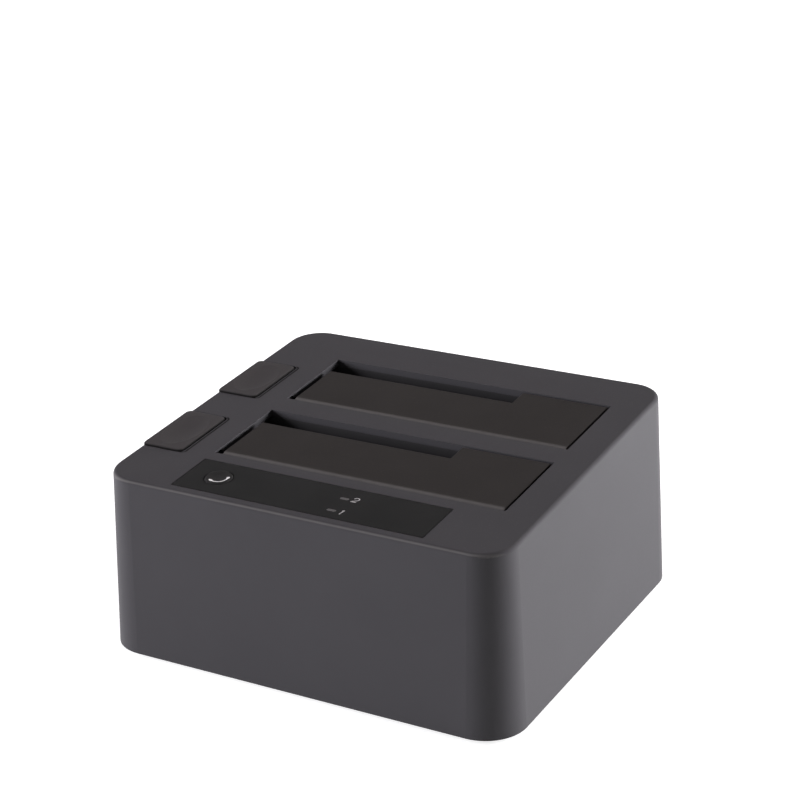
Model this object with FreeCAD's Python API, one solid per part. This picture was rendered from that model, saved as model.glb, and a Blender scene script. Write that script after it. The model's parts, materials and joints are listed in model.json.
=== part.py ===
import FreeCAD, Part
import math
import os

vector = FreeCAD.Vector

# Body: a drafted, rounded shell that stands on four feet. X is the width, Y the depth
# towards the back, Z the height above the table. Lengths are millimetres, angles degrees.
body_width = 149.7
body_depth = 136.1
body_height = 65.2
top_slope = 3.1
draft = 2.3
corner_radius = 14.0
wall = 2.4
top_wall = 2.4
top_edge_radius = 1.4
foot_stand = 1.5

# Clearances: fixed mouldings in each other, faces that seat, pins that turn, stops
seam = 0.25
seat_gap = 0.05
running_gap = 0.05
grip_gap = 0.02
rest_gap = 0.3
touch = 0.01
overlap = 0.1

# Control panel in the front strip of the top
panel_margin = 3.4
panel_depth = 19.8
panel_width = 91.2
panel_left = -46.5
panel_thickness = 1.6
panel_strip = 5.3
panel_corner_radius = 0.5

# Drive bays: two upright shafts, one behind the other
bay_width = 106.3
bay_length = 35.6
bay_left = -46.3
bay_strip = 10.0
bay_wall = 1.6
stop_ledge = 1.4
drive_seat_height = 29.9
seat_pad_height = 4.0
bay_floor_thickness = 2.0
slim_slot_width = 73.8
slim_slot_depth = 9.3
wide_drive_width = 101.6
wide_drive_left = 0.8
guide_height = 5.0
guide_thickness = 2.0
guide_setback = 10.0

# Doors, hinged at the front edge of each bay
door_thickness = 2.0
door_left_gap = 2.3
door_right_gap = 1.0
door_back_gap = 0.6
door_sink = 0.15
door_rib_depth = 1.7
door_rib_width = 1.2
door_edge_radius = 0.4
hinge_radius = 2.6
hinge_gap = 0.4
hinge_pin_radius = 1.0
hinge_pin_chamfer = 0.25
hinge_seat_wall = 0.9
hinge_seat_reach = 1.4
stop_tab_length = 6.0
stop_tab_overlap = 0.9
stop_tab_thickness = 1.2
door_spring_inset = 12.0
door_spring_length = 5.0
door_spring_radius = 1.65
door_spring_wire = 0.5
door_spring_turns = 4
door_spring_leg = 7.0
door_spring_relief = 0.2

# Eject buttons on the left edge
button_width = 15.8
button_length = 28.0
button_setback = 4.0
button_overhang = 0.5
button_proud = 0.5
button_gap = 0.5
button_crown = 1.8
button_travel = 4.0
button_corner_radius = 2.0
button_edge_radius = 0.8
button_dish_depth = 0.8
barb_width = 4.0
barb_reach = 0.6
barb_lip = 0.5
button_dish_cross_radius = 28.0
button_dish_long_radius = 80.0
skirt_thickness = 1.0
skirt_depth = 8.0
ring_depth = 5.0
stem_inset = 8.3
stem_radius = 1.5
stem_collar_radius = 2.1
stem_collar_rise = 6.0
shelf_height = 41.5
shelf_thickness = 3.0
shelf_width = 11.0
shelf_corner_radius = 3.0
stem_guide_wall = 1.4
stem_guide_drop = 2.0
eject_spring_radius = 2.9
eject_spring_wire = 0.6
eject_spring_turns = 6
spring_sides = 6

# Ejector levers under the left end of the bays
lever_pivot_offset = 5.7
lever_pivot_height = 22.5
lever_tube_radius = 3.0
lever_pin_radius = 1.5
lever_pin_chamfer = 0.3
lever_arm_width = 6.0
lever_arm_thickness = 3.0
lever_arm_rise = 1.0
lever_tip_reach = 1.0
lever_tip_thickness = 1.6
lever_finger_reach = 19.0
lever_finger_thickness = 4.0
lever_pad_setback = 4.4
lever_ear_thickness = 2.5
lever_ear_rise = 8.0

# Drive sockets
socket_setback = 4.9
socket_centre_x = -14.1
socket_length = 42.0
socket_thickness = 6.0
socket_mouth_length = 38.0
socket_mouth_thickness = 4.8
socket_insertion = 5.0
socket_corner_radius = 0.6
socket_mouth_radius = 0.8
socket_mouth_bevel = 0.5
contact_pitch = 1.27
contact_break = 6.35
signal_contacts = 7
power_contacts = 15
contact_width = 0.7
contact_thickness = 0.3
contact_height = 7.0
contact_setback = 0.5
contact_bow = 0.27
blade_slot = 1.6
blade_slot_clearance = 1.0
blade_key_depth = 1.5

# Main board on posts of the bottom cover, and the ports at its rear edge
board_height = 15.5
board_thickness = 1.6
board_left = -40.0
board_right = 50.0
board_front_gap = 8.7
board_rear_gap = 3.0
board_screw_inset = 4.0
board_row_inset = 7.9
board_post_radius = 3.2
board_post_foot = 1.3
board_post_foot_height = 3.0
board_corner_radius = 1.5
port_sink = 0.3
usb_x = 16.0
usb_width = 12.0
usb_height = 12.5
usb_length = 18.0
usb_shell = 0.4
jack_x = 37.0
jack_width = 9.0
jack_height = 11.0
jack_length = 14.0
jack_bore_radius = 3.15
jack_pin_radius = 1.0
jack_pin_setback = 1.2
jack_corner_radius = 1.5
jack_back_wall = 2.5
jack_axis_lift = 0.6

# Mouth of the data port's insert: a square opening under a narrower one, with a tongue in each
insert_floor = 0.7
insert_width = 8.4
insert_shoulder = 5.6
insert_neck_width = 5.8
insert_neck_foot = 7.2
insert_neck_top = 9.9
insert_depth = 11.0
tongue_setback = 2.0
tongue_width = 5.6
tongue_foot = 2.1
tongue_top = 5.2
small_tongue_width = 4.4
small_tongue_foot = 8.0
small_tongue_top = 9.0

# Large components of the main board
chip_size = 9.0
chip_height = 1.0
chip_offset = 18.0
chip_bevel = 0.3
chip_mark_radius = 0.8
capacitor_count = 3
capacitor_pitch = 9.0
capacitor_margin = 14.0
capacitor_radius = 3.1
capacitor_height = 6.5
capacitor_groove_depth = 0.25
capacitor_groove_rise = 0.3
capacitor_base_size = 6.6
capacitor_base_height = 1.2
coil_size = 7.0
coil_height = 3.8
coil_corner_radius = 1.6
coil_edge_radius = 0.5
crystal_offset = 6.0
crystal_width = 4.0
crystal_length = 10.4
crystal_height = 3.4
crystal_rim = 0.4
crystal_rim_height = 0.5

# Bottom cover, feet and screws
cover_thickness = 2.0
screw_inset = 13.0
post_radius = 4.4
post_height = 7.0
foot_radius = 6.0
foot_recess = 0.8
foot_inset_x = 26.0
foot_inset_y = 15.0
vent_length = 26.0
vent_width = 2.2
vent_pitch = 5.0
vents_per_row = 9
screw_radius = 1.3
screw_head_radius = 2.6
screw_head_height = 1.7
screw_recess_width = 0.6
screw_recess_depth = 0.9
screw_seat_depth = 3.0
base_screw_length = 12.0
control_screw_length = 7.0
bay_screw_length = 8.0
board_screw_length = 8.0
boss_radius = 3.0
lug_length = 7.0
lug_thickness = 2.4
lug_drop = 5.0
lug_setback = 1.0

# Power button, indicators and the control board under the panel
power_x = -34.7
power_radius = 4.7
power_proud = 0.3
power_gap = 0.25
power_flange = 1.1
power_flange_thickness = 0.8
power_stem_radius = 1.8
power_rim_width = 0.5
power_rim_bevel = 0.4
power_dish_depth = 0.5
power_travel = 0.5
indicator_x = 10.1
indicator_spacing = 8.2
indicator_offset = -1.0
indicator_length = 3.2
indicator_width = 1.3
control_board_drop = 9.0
control_board_thickness = 1.2
control_board_width = 66.0
control_board_depth = 17.0
control_board_left = -43.0
control_screw_spread = 20.0
control_screw_offset = 5.5
switch_size = 6.0
switch_height = 3.4
switch_corner_radius = 0.4
switch_bore_depth = 1.8
plunger_radius = 1.7
plunger_rise = 0.8
plunger_sink = 1.0
plunger_bevel = 0.2
led_height = 1.1
led_length = 3.2
led_width = 1.8
led_corner_radius = 0.2
led_lens_radius = 0.8
control_board_radius = 1.0
ribbon_width = 10.0
ribbon_thickness = 0.5
ribbon_bend = 5.0
ribbon_x = 0.0
ribbon_socket_depth = 4.0
ribbon_socket_wall = 1.5
ribbon_socket_height = 3.0

# Places that follow from the sizes above
slope_sine = math.sin(math.radians(top_slope))
slope_cosine = math.cos(math.radians(top_slope))
reach = 2 * (body_width + body_depth)
bay_right = bay_left + bay_width
bay_pitch = bay_length + bay_strip
shaft_left = bay_left - stop_ledge
shaft_right = bay_right + stop_ledge
drive_seat = foot_stand + drive_seat_height
floor_top = drive_seat - seat_pad_height
floor_bottom = floor_top - bay_floor_thickness
board_bottom = foot_stand + board_height
board_top = board_bottom + board_thickness
cover_top = foot_stand + cover_thickness
pivot_x = shaft_left - bay_wall - lever_pivot_offset
pivot_z = foot_stand + lever_pivot_height


def top_height(y):
    """Height of the sloping top plane at depth y."""
    return foot_stand + body_height + y * slope_sine / slope_cosine


def side_inset(z):
    """How far the drafted sides stand in at height z from their foot."""
    return (z - foot_stand) * math.tan(math.radians(draft))


top_front_y = -(body_depth / 2 - side_inset(top_height(-body_depth / 2)))
rear_wall_y = body_depth / 2 - side_inset(board_top + usb_height / 2)
panel_y = top_front_y + panel_margin + panel_depth / 2
first_bay_front = panel_y + panel_depth / 2 + panel_strip
button_left = -(body_width / 2 - side_inset(foot_stand + body_height)) - button_overhang
button_right = button_left + button_width
stem_x = button_left + stem_inset


def bay_front(index):
    """Depth of a bay's front edge; index 0 is the front bay, 1 the rear bay."""
    return first_bay_front + index * bay_pitch


def bay_back(index):
    """Depth of a bay's back edge."""
    return bay_front(index) + bay_length


def hinge_y(index):
    """Depth of a door's hinge axis."""
    return bay_front(index) + hinge_gap + hinge_radius


def hinge_z(index):
    """Height of a door's hinge axis, which lies square under the sloping top."""
    return top_height(hinge_y(index)) - (hinge_radius + door_sink) / slope_cosine


def button_middle(index):
    """Depth of an eject button's middle."""
    return bay_front(index) - button_setback + button_length / 2


def lever_pad_y(index):
    """Depth of an ejector lever's lifting finger."""
    return bay_back(index) - lever_pad_setback


def box(x0, x1, y0, y1, z0, z1):
    """Square block between two corners."""
    return Part.makeBox(x1 - x0, y1 - y0, z1 - z0, vector(x0, y0, z0))


def rod(radius, start, end):
    """Round bar between two points."""
    axis = end - start
    return Part.makeCylinder(radius, axis.Length, start, axis)


def post(radius, x, y, z0, z1):
    """Upright round bar."""
    return rod(radius, vector(x, y, z0), vector(x, y, z1))


def rounded_outline(width, depth, radius, z):
    """Closed rectangle with round corners, centred on the Z axis."""
    across = width / 2 - radius
    along = depth / 2 - radius
    arcs = []
    for quarter, (x, y) in enumerate(((across, along), (-across, along), (-across, -along), (across, -along))):
        start = 90 * quarter
        arcs.append(Part.makeCircle(radius, vector(x, y, z), vector(0, 0, 1), start, start + 90))
    edges = []
    for quarter, arc in enumerate(arcs):
        following = arcs[(quarter + 1) % len(arcs)]
        edges.append(arc)
        edges.append(Part.makeLine(arc.valueAt(arc.LastParameter), following.valueAt(following.FirstParameter)))
    return Part.Wire(edges)


def rounded_block(x0, x1, y0, y1, z0, z1, radius):
    """Upright block with round vertical edges."""
    outline = rounded_outline(x1 - x0, y1 - y0, radius, 0)
    outline.translate(vector((x0 + x1) / 2, (y0 + y1) / 2, z0))
    return Part.Face(outline).extrude(vector(0, 0, z1 - z0))


def drafted_block(inset, z0, z1):
    """The body's drafted form between two heights, set in all round by inset."""
    outlines = []
    for z in (z0, z1):
        shrink = inset + side_inset(z)
        outlines.append(rounded_outline(body_width - 2 * shrink, body_depth - 2 * shrink, corner_radius - shrink, z))
    return Part.makeLoft(outlines, True, True)


def side_plate(points, y0, y1):
    """Plate drawn as (x, z) points and thick along Y."""
    corners = [vector(x, y0, z) for x, z in points]
    return Part.Face(Part.makePolygon(corners + corners[:1])).extrude(vector(0, y1 - y0, 0))


def cross_plate(points, x0, x1):
    """Plate drawn as (y, z) points and thick along X."""
    corners = [vector(x0, y, z) for y, z in points]
    return Part.Face(Part.makePolygon(corners + corners[:1])).extrude(vector(x1 - x0, 0, 0))


def turned(points, base):
    """Solid of revolution about an upright axis, drawn as (radius, height) points."""
    corners = [vector(radius, 0, height) for radius, height in points]
    solid = Part.Face(Part.makePolygon(corners + corners[:1])).revolve(vector(0, 0, 0), vector(0, 0, 1), 360)
    solid.translate(base)
    return solid


def lean(shape, y, z):
    """Tip a level shape to the slope of the top and carry its origin to a place in the middle plane."""
    shape.rotate(vector(0, 0, 0), vector(1, 0, 0), top_slope)
    shape.translate(vector(0, y, z))
    return shape


def on_panel(shape):
    """Set a shape drawn from the panel's middle, with the top plane at z = 0."""
    return lean(shape, panel_y, top_height(panel_y))


def on_hinge(shape, index):
    """Set a shape drawn from a door's hinge axis."""
    return lean(shape, hinge_y(index), hinge_z(index))


def under_top(drop):
    """Everything that lies more than drop below the top plane."""
    return lean(box(-reach, reach, -reach, reach, -reach, -drop), 0, top_height(0))


def join(shape, pieces):
    """One solid of a shape and the pieces that grow out of it."""
    for piece in pieces:
        shape = shape.fuse(piece)
    return shape.removeSplitter()


def pan_screw(x, y, head_z, length):
    """Pan-head screw that points up from its head."""
    crown = screw_head_radius * 0.7
    profile = [
        (0, 0), (crown, 0), (screw_head_radius, screw_head_height * 0.4), (screw_head_radius, screw_head_height),
        (screw_radius, screw_head_height), (screw_radius, length - screw_radius), (screw_radius / 3, length),
        (0, length),
    ]
    screw = turned(profile, vector(x, y, head_z))
    half = screw_recess_width / 2
    recess_top = head_z + screw_recess_depth
    drive = box(x - crown, x + crown, y - half, y + half, head_z, recess_top)
    cross = box(x - half, x + half, y - crown, y + crown, head_z, recess_top)
    return screw.cut([drive, cross])


def corner_points(inset_x, inset_y):
    """The four places at equal insets from the body's foot."""
    x = body_width / 2 - inset_x
    y = body_depth / 2 - inset_y
    return [(-x, -y), (x, -y), (-x, y), (x, y)]


def base_screw_places():
    """Where the four screws of the bottom cover stand."""
    return corner_points(screw_inset, screw_inset)


def board_screw_places():
    """Where the four screws of the main board stand."""
    front = board_front_y() + board_screw_inset
    rear = board_rear_y() - board_screw_inset
    left = board_left + board_screw_inset
    right = board_right - board_screw_inset
    return [(left, front), (right, front), (left, rear), (right, rear)]


def board_front_y():
    """Front edge of the main board, ahead of the front drive socket."""
    return bay_back(0) - socket_setback - socket_thickness / 2 - board_front_gap


def board_rear_y():
    """Rear edge of the main board."""
    return rear_wall_y - wall - board_rear_gap


def lug_places(index):
    """Screw places of a bay frame: one at its left, two at its right."""
    left = shaft_left - bay_wall - lug_length / 2
    right = shaft_right + bay_wall + lug_length / 2
    back = bay_back(index) - lug_length / 2 - lug_setback
    front = bay_front(index) + lug_length / 2
    return [(left, back), (right, back), (right, front)]


def button_floor(index):
    """Height of the flat underside of an eject button's crown."""
    return top_height(button_middle(index)) - button_crown


def button_cut(index):
    """Space in the housing for an eject button and its travel."""
    front = button_middle(index) - button_length / 2 - button_gap
    back = front + button_length + 2 * button_gap
    rim = button_floor(index) - button_travel - rest_gap
    foot = button_floor(index) - skirt_depth - button_travel - rest_gap
    notch = rounded_block(-reach, button_right + button_gap, front, back, rim, reach, button_corner_radius)
    face = button_left + skirt_thickness + button_gap
    return notch.fuse(box(-reach, face, front, back, foot, reach))


def port_cut(x, width, height):
    """Hole in the rear wall round a port that stands on the board."""
    low = board_top - seam
    high = board_top + height + seam
    return box(x - width / 2 - seam, x + width / 2 + seam, rear_wall_y - 3 * wall, reach, low, high)


def make_top_housing():
    """Outer shell with its openings, recesses and the screw bosses that hang inside it."""
    block = drafted_block(0, foot_stand, top_height(body_depth)).common(under_top(0))
    rim = [edge for edge in block.Edges
           if all(abs(point.Z - top_height(point.Y)) < 0.01 for point in edge.Vertexes)]
    block = block.makeFillet(top_edge_radius, rim)
    hollow = drafted_block(wall, foot_stand - 1, top_height(body_depth)).common(under_top(top_wall))
    shell = block.cut(hollow)

    below = under_top(top_wall / 2)
    boss_foot = cover_top + post_height + seat_gap
    bosses = [post(post_radius, x, y, boss_foot, reach).common(below) for x, y in base_screw_places()]
    for index in (0, 1):
        for x, y in lug_places(index):
            boss_end = top_height(y) - top_wall - lug_drop
            bosses.append(post(boss_radius, x, y, boss_end, reach).common(below))
    for x in (-control_screw_spread, control_screw_spread):
        stud = post(boss_radius, x, control_screw_offset, seat_gap - control_board_drop, -top_wall / 2)
        bosses.append(on_panel(stud))
    shell = join(shell, bosses)

    cuts = []
    for index in (0, 1):
        cuts.append(box(bay_left, bay_right, bay_front(index), bay_back(index), floor_top, reach))
        cuts.append(button_cut(index))
        cuts += hinge_seats(index, seam)
        for x, y in lug_places(index):
            boss_end = top_height(y) - top_wall - lug_drop
            cuts.append(post(screw_radius + grip_gap, x, y, boss_end - 1, boss_end + lug_drop))
    for x, y in base_screw_places():
        cuts.append(post(screw_radius + grip_gap, x, y, boss_foot - 1, boss_foot + 3 * post_height))
    panel_right = panel_left + panel_width
    half = panel_depth / 2
    cuts.append(on_panel(box(panel_left - seam / 2, panel_right + seam / 2, -half - seam / 2, half + seam / 2,
                             -panel_thickness - seat_gap, reach)))
    cuts.append(on_panel(post(power_radius + power_gap, power_x, 0, -reach / 8, 1)))
    for x, y in indicator_places():
        cuts.append(on_panel(indicator_bar(x, y, seam / 2, -reach / 8, 1)))
    for x in (-control_screw_spread, control_screw_spread):
        cuts.append(on_panel(post(screw_radius + grip_gap, x, control_screw_offset, -control_board_drop, -top_wall)))
    cuts.append(port_cut(usb_x, usb_width, usb_height))
    cuts.append(port_cut(jack_x, jack_width, jack_height))
    return shell.cut(cuts)


def make_bottom_cover():
    """Flat cover inside the foot of the housing, with screw posts, board posts, foot seats and vents."""
    inset = wall + seam + side_inset(cover_top)
    plate = rounded_block(inset - body_width / 2, body_width / 2 - inset, inset - body_depth / 2,
                          body_depth / 2 - inset, foot_stand, cover_top, corner_radius - inset)
    grown = [post(post_radius, x, y, foot_stand, cover_top + post_height) for x, y in base_screw_places()]
    seat = board_bottom - foot_stand - seat_gap
    profile = [(0, 0), (board_post_radius + board_post_foot, 0), (board_post_radius, board_post_foot_height),
               (board_post_radius, seat), (0, seat)]
    grown += [turned(profile, vector(x, y, foot_stand)) for x, y in board_screw_places()]
    cover = join(plate, grown)
    cuts = []
    head_seat = cover_top + post_height - screw_seat_depth
    for x, y in base_screw_places():
        cuts.append(post(screw_head_radius + seam, x, y, 0, head_seat))
        cuts.append(post(screw_radius + seam, x, y, 0, reach))
    for x, y in board_screw_places():
        cuts.append(post(screw_radius + grip_gap, x, y, cover_top, reach))
    for x, y in corner_points(foot_inset_x, foot_inset_y):
        cuts.append(post(foot_radius + seam, x, y, 0, foot_stand + foot_recess))
    for row_x in (-vent_length * 0.75, vent_length * 0.75):
        for number in range(vents_per_row):
            y = (number - (vents_per_row - 1) / 2) * vent_pitch
            cuts.append(rounded_block(row_x - vent_length / 2, row_x + vent_length / 2, y - vent_width / 2,
                                      y + vent_width / 2, 0, cover_top + 1, vent_width / 2 - touch))
    return cover.cut(cuts)


def make_rubber_feet():
    """Four round feet with a rolled edge, set in the cover."""
    roll = foot_stand / 2
    top = foot_stand + foot_recess - seat_gap
    profile = [(0, 0), (foot_radius - roll, 0), (foot_radius - roll * 0.3, roll * 0.35), (foot_radius, roll),
               (foot_radius, top), (0, top)]
    return [turned(profile, vector(x, y, 0)) for x, y in corner_points(foot_inset_x, foot_inset_y)]


def make_base_screws():
    """Four screws that hold the cover to the corner bosses."""
    seat = cover_top + post_height - screw_seat_depth
    head = seat - screw_head_height - seat_gap
    return [pan_screw(x, y, head, base_screw_length) for x, y in base_screw_places()]


def indicator_places():
    """The two indicator windows, in the panel's own frame."""
    return [(indicator_x, indicator_offset + side * indicator_spacing / 2) for side in (-1, 1)]


def indicator_bar(x, y, margin, z0, z1):
    """Upright bar with round ends in the outline of an indicator window."""
    half_length = indicator_length / 2 + margin
    half_width = indicator_width / 2 + margin
    return rounded_block(x - half_length, x + half_length, y - half_width, y + half_width, z0, z1, half_width - touch)


def make_control_panel():
    """Gloss plate let into the top, with the button hole and two windows."""
    half = panel_depth / 2 - seam / 2
    plate = rounded_block(panel_left + seam / 2, panel_left + panel_width - seam / 2, -half, half,
                          -panel_thickness, 0, panel_corner_radius)
    holes = [post(power_radius + power_gap, power_x, 0, -panel_thickness - 1, 1)]
    holes += [indicator_bar(x, y, grip_gap, -panel_thickness - 1, 1) for x, y in indicator_places()]
    return on_panel(plate.cut(holes))


def make_light_pipes():
    """Two clear bars from the indicator windows down to their lamps."""
    foot = led_height + rest_gap - control_board_drop
    return [on_panel(indicator_bar(x, y, 0, foot, -grip_gap)) for x, y in indicator_places()]


def make_power_button():
    """Round push button: a dished cap, a retaining flange under the top and a stem."""
    rim = power_radius - power_rim_bevel - power_rim_width
    flange_top = -top_wall - rest_gap
    flange_low = flange_top - power_flange_thickness
    stem_end = switch_height + plunger_rise + seat_gap - control_board_drop
    profile = [
        (0, power_proud - power_dish_depth), (rim / 2, power_proud - power_dish_depth * 0.8), (rim, power_proud),
        (power_radius - power_rim_bevel, power_proud), (power_radius, power_proud - power_rim_bevel),
        (power_radius, flange_top), (power_radius + power_flange, flange_top),
        (power_radius + power_flange, flange_low), (power_stem_radius, flange_low), (power_stem_radius, stem_end),
        (0, stem_end),
    ]
    return on_panel(turned(profile, vector(power_x, 0, 0)))


def make_switch_plunger():
    """Plunger of the push switch, carried down by the power button."""
    top = switch_height + plunger_rise - control_board_drop
    foot = -plunger_rise - plunger_sink
    profile = [(0, foot), (plunger_radius, foot), (plunger_radius, -plunger_bevel), (plunger_radius - plunger_bevel, 0),
               (0, 0)]
    return on_panel(turned(profile, vector(power_x, 0, top)))


def make_push_switch():
    """Square switch body on the control board, bored for its plunger."""
    half = switch_size / 2
    foot = grip_gap - control_board_drop
    top = switch_height - control_board_drop
    body = rounded_block(power_x - half, power_x + half, -half, half, foot, top, switch_corner_radius)
    bore = post(plunger_radius + running_gap, power_x, 0, top - switch_bore_depth, top + 1)
    return on_panel(body.cut(bore))


def make_control_board():
    """Small board under the panel, hung on two bosses."""
    half = control_board_depth / 2
    top = -control_board_drop
    board = rounded_block(control_board_left, control_board_left + control_board_width, -half, half,
                          top - control_board_thickness, top, control_board_radius)
    holes = [post(screw_radius + seam, x, control_screw_offset, -reach / 8, 1)
             for x in (-control_screw_spread, control_screw_spread)]
    return on_panel(board.cut(holes))


def make_control_screws():
    """Two screws up through the control board."""
    head = -control_board_drop - control_board_thickness - seat_gap - screw_head_height
    return [on_panel(pan_screw(x, control_screw_offset, head, control_screw_length))
            for x in (-control_screw_spread, control_screw_spread)]


def make_indicator_lamps():
    """Two flat lamps with a domed lens, under the light pipes."""
    base = grip_gap - control_board_drop
    seat = base + led_height * 0.6
    half_length = led_length / 2
    half_width = led_width / 2
    dome = [(0, 0), (led_lens_radius, 0), (led_lens_radius - overlap, led_height * 0.3), (0, led_height * 0.4)]
    lamps = []
    for x, y in indicator_places():
        body = rounded_block(x - half_length, x + half_length, y - half_width, y + half_width, base, seat,
                             led_corner_radius)
        lamps.append(on_panel(join(body, [turned(dome, vector(x, y, seat))])))
    return lamps


def ribbon_drop_y():
    """Depth of the ribbon's upright run, between the control board's socket and the front bay."""
    return panel_y + panel_depth / 2 - ribbon_socket_depth


def ribbon_level():
    """Height at which the ribbon enters the main board's socket."""
    return board_top + ribbon_socket_height / 2


def ribbon_top():
    """Height at which the ribbon leaves the control board's socket."""
    drop = control_board_drop + control_board_thickness + ribbon_socket_height
    return top_height(ribbon_drop_y()) - drop * slope_cosine


def make_ribbon_cable():
    """Flat cable: one upright run, one bend and one level run to the main board."""
    y = ribbon_drop_y()
    level = ribbon_level()
    half = ribbon_thickness / 2
    centre = vector(0, y + ribbon_bend, level + ribbon_bend)
    end_y = board_front_y()
    faces = []
    for radius in (ribbon_bend + half, ribbon_bend - half):
        top = vector(0, centre.y - radius, ribbon_top())
        side = vector(0, centre.y - radius, centre.z)
        knee = centre + vector(0, -radius * math.sqrt(0.5), -radius * math.sqrt(0.5))
        foot = vector(0, centre.y, centre.z - radius)
        end = vector(0, end_y, centre.z - radius)
        faces.append((top, side, knee, foot, end))
    outer, inner = faces
    edges = [
        Part.makeLine(outer[0], outer[1]), Part.Arc(outer[1], outer[2], outer[3]).toShape(),
        Part.makeLine(outer[3], outer[4]), Part.makeLine(outer[4], inner[4]), Part.makeLine(inner[4], inner[3]),
        Part.Arc(inner[3], inner[2], inner[1]).toShape(), Part.makeLine(inner[1], inner[0]),
        Part.makeLine(inner[0], outer[0]),
    ]
    ribbon = Part.Face(Part.Wire(edges)).extrude(vector(ribbon_width, 0, 0))
    ribbon.translate(vector(ribbon_x - ribbon_width / 2, 0, 0))
    return ribbon


def make_ribbon_sockets():
    """The two sockets of the ribbon: under the control board and on the main board."""
    half_x = ribbon_width / 2 + ribbon_socket_wall
    slot_x = ribbon_width / 2 + seam
    half_y = ribbon_socket_depth / 2
    front = board_front_y()
    lower = box(ribbon_x - half_x, ribbon_x + half_x, front, front + ribbon_socket_depth, board_top + grip_gap,
                board_top + ribbon_socket_height)
    lower = lower.cut(box(ribbon_x - slot_x, ribbon_x + slot_x, front - 1, front + half_y,
                          ribbon_level() - ribbon_thickness, ribbon_level() + ribbon_thickness))
    drop = control_board_drop + control_board_thickness
    middle = (ribbon_drop_y() - panel_y) / slope_cosine
    upper = box(ribbon_x - half_x, ribbon_x + half_x, middle - half_y, middle + half_y,
                -drop - ribbon_socket_height, -drop - grip_gap)
    upper = on_panel(upper)
    y = ribbon_drop_y()
    slot = box(ribbon_x - slot_x, ribbon_x + slot_x, y - ribbon_thickness, y + ribbon_thickness,
               ribbon_top() - 1, ribbon_top() + ribbon_socket_height / 2)
    return [lower, upper.cut(slot)]


def make_bay_frame(index):
    """Upright shaft of one bay with its floor, hinge bores, drive seats, button shelf and lever ears."""
    front = bay_front(index)
    back = bay_back(index)
    left = shaft_left - bay_wall
    right = shaft_right + bay_wall
    shaft = box(left, right, front - bay_wall, back + bay_wall, floor_bottom, reach)
    shaft = shaft.cut(box(shaft_left, shaft_right, front, back, floor_top, reach))
    axis_y = hinge_y(index)
    axis_z = hinge_z(index)

    grown = []
    grown += drive_seats(index)
    grown += button_shelf(index)
    grown += lever_ears(index)
    for x, y in lug_places(index):
        top = top_height(y) - top_wall - lug_drop - seat_gap
        reach_in = left + bay_wall / 2 if x < 0 else right - bay_wall / 2
        half = lug_length / 2
        arm = box(min(x, reach_in), max(x, reach_in), y - half, y + half, top - lug_thickness, top)
        grown.append(arm.fuse(post(half, x, y, top - lug_thickness, top)))
    frame = join(shaft, grown).common(under_top(top_wall + seat_gap))
    frame = join(frame, hinge_seats(index, 0))

    cuts = [rod(hinge_pin_radius + grip_gap, vector(-reach, axis_y, axis_z), vector(reach, axis_y, axis_z))]
    socket_y = back - socket_setback
    slot_x = socket_length / 2 + 2 * seam
    slot_y = socket_thickness / 2 + 2 * seam
    cuts.append(box(socket_centre_x - slot_x, socket_centre_x + slot_x, socket_y - slot_y, socket_y + slot_y,
                    floor_bottom - 1, floor_top + 1))
    pad_y = lever_pad_y(index)
    half = lever_arm_width / 2 + 2 * seam
    finger_end = pivot_x + lever_finger_reach + 2 * seam
    cuts.append(box(left - 1, finger_end, pad_y - half, pad_y + half, floor_bottom - 1, floor_top + 1))
    cuts.append(box(left - 1, shaft_left + 1, pad_y - half, pad_y + half, floor_bottom - 1,
                    floor_top + lever_finger_thickness))
    stem_y = button_middle(index)
    cuts.append(post(stem_radius + running_gap, stem_x, stem_y, 0, shelf_z() + 1))
    cuts.append(rod(lever_pin_radius + grip_gap, vector(pivot_x, front - bay_wall - 1, pivot_z),
                    vector(pivot_x, back + bay_wall + 1, pivot_z)))
    for x, y in lug_places(index):
        cuts.append(post(screw_radius + seam, x, y, floor_top, reach))
    return frame.cut(cuts)


def hinge_seats(index, margin):
    """Round seats in both side walls for the ends of a hinge pin, grown all round by margin."""
    radius = hinge_pin_radius + hinge_seat_wall + margin
    seats = []
    for inner, side in ((shaft_left, -1), (shaft_right, 1)):
        inward = stop_ledge if margin else 0
        start = vector(inner - side * (margin + inward), hinge_y(index), hinge_z(index))
        length = bay_wall + hinge_seat_reach + 2 * margin + inward
        seats.append(rod(radius, start, start + vector(side * length, 0, 0)))
    return seats


def drive_seats(index):
    """Pads that carry a drive's lower edge, and the low guides beside it, all clear of the door's swing."""
    back = bay_back(index)
    guide_y = back - guide_setback
    guide_top = drive_seat + guide_height
    drive_left = bay_left + wide_drive_left
    drive_right = drive_left + wide_drive_width
    low = floor_bottom + bay_floor_thickness / 2
    pad = guide_setback
    pieces = [
        box(shaft_left, drive_left + pad, guide_y - pad, guide_y, low, drive_seat),
        box(drive_right - pad, drive_right, guide_y - pad, back - 2 * seam, low, drive_seat),
        box(slim_slot_right() - pad, slim_slot_right() - 2 * seam, back - slim_slot_depth, back, low, drive_seat),
    ]
    lead = guide_thickness
    for inner, outer in ((drive_left - seam, shaft_left - bay_wall / 2),
                         (drive_right + seam, shaft_right + bay_wall / 2)):
        profile = [(outer, low), (inner, low), (inner, guide_top - lead), (outer, guide_top)]
        pieces.append(side_plate(profile, guide_y - guide_thickness, guide_y))
    return pieces


def slim_slot_right():
    """Right edge of the narrow slot that the door leaves open."""
    return bay_left + slim_slot_width


def shelf_z():
    """Top of the shelf that guides the eject button's stem."""
    return foot_stand + shelf_height


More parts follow.
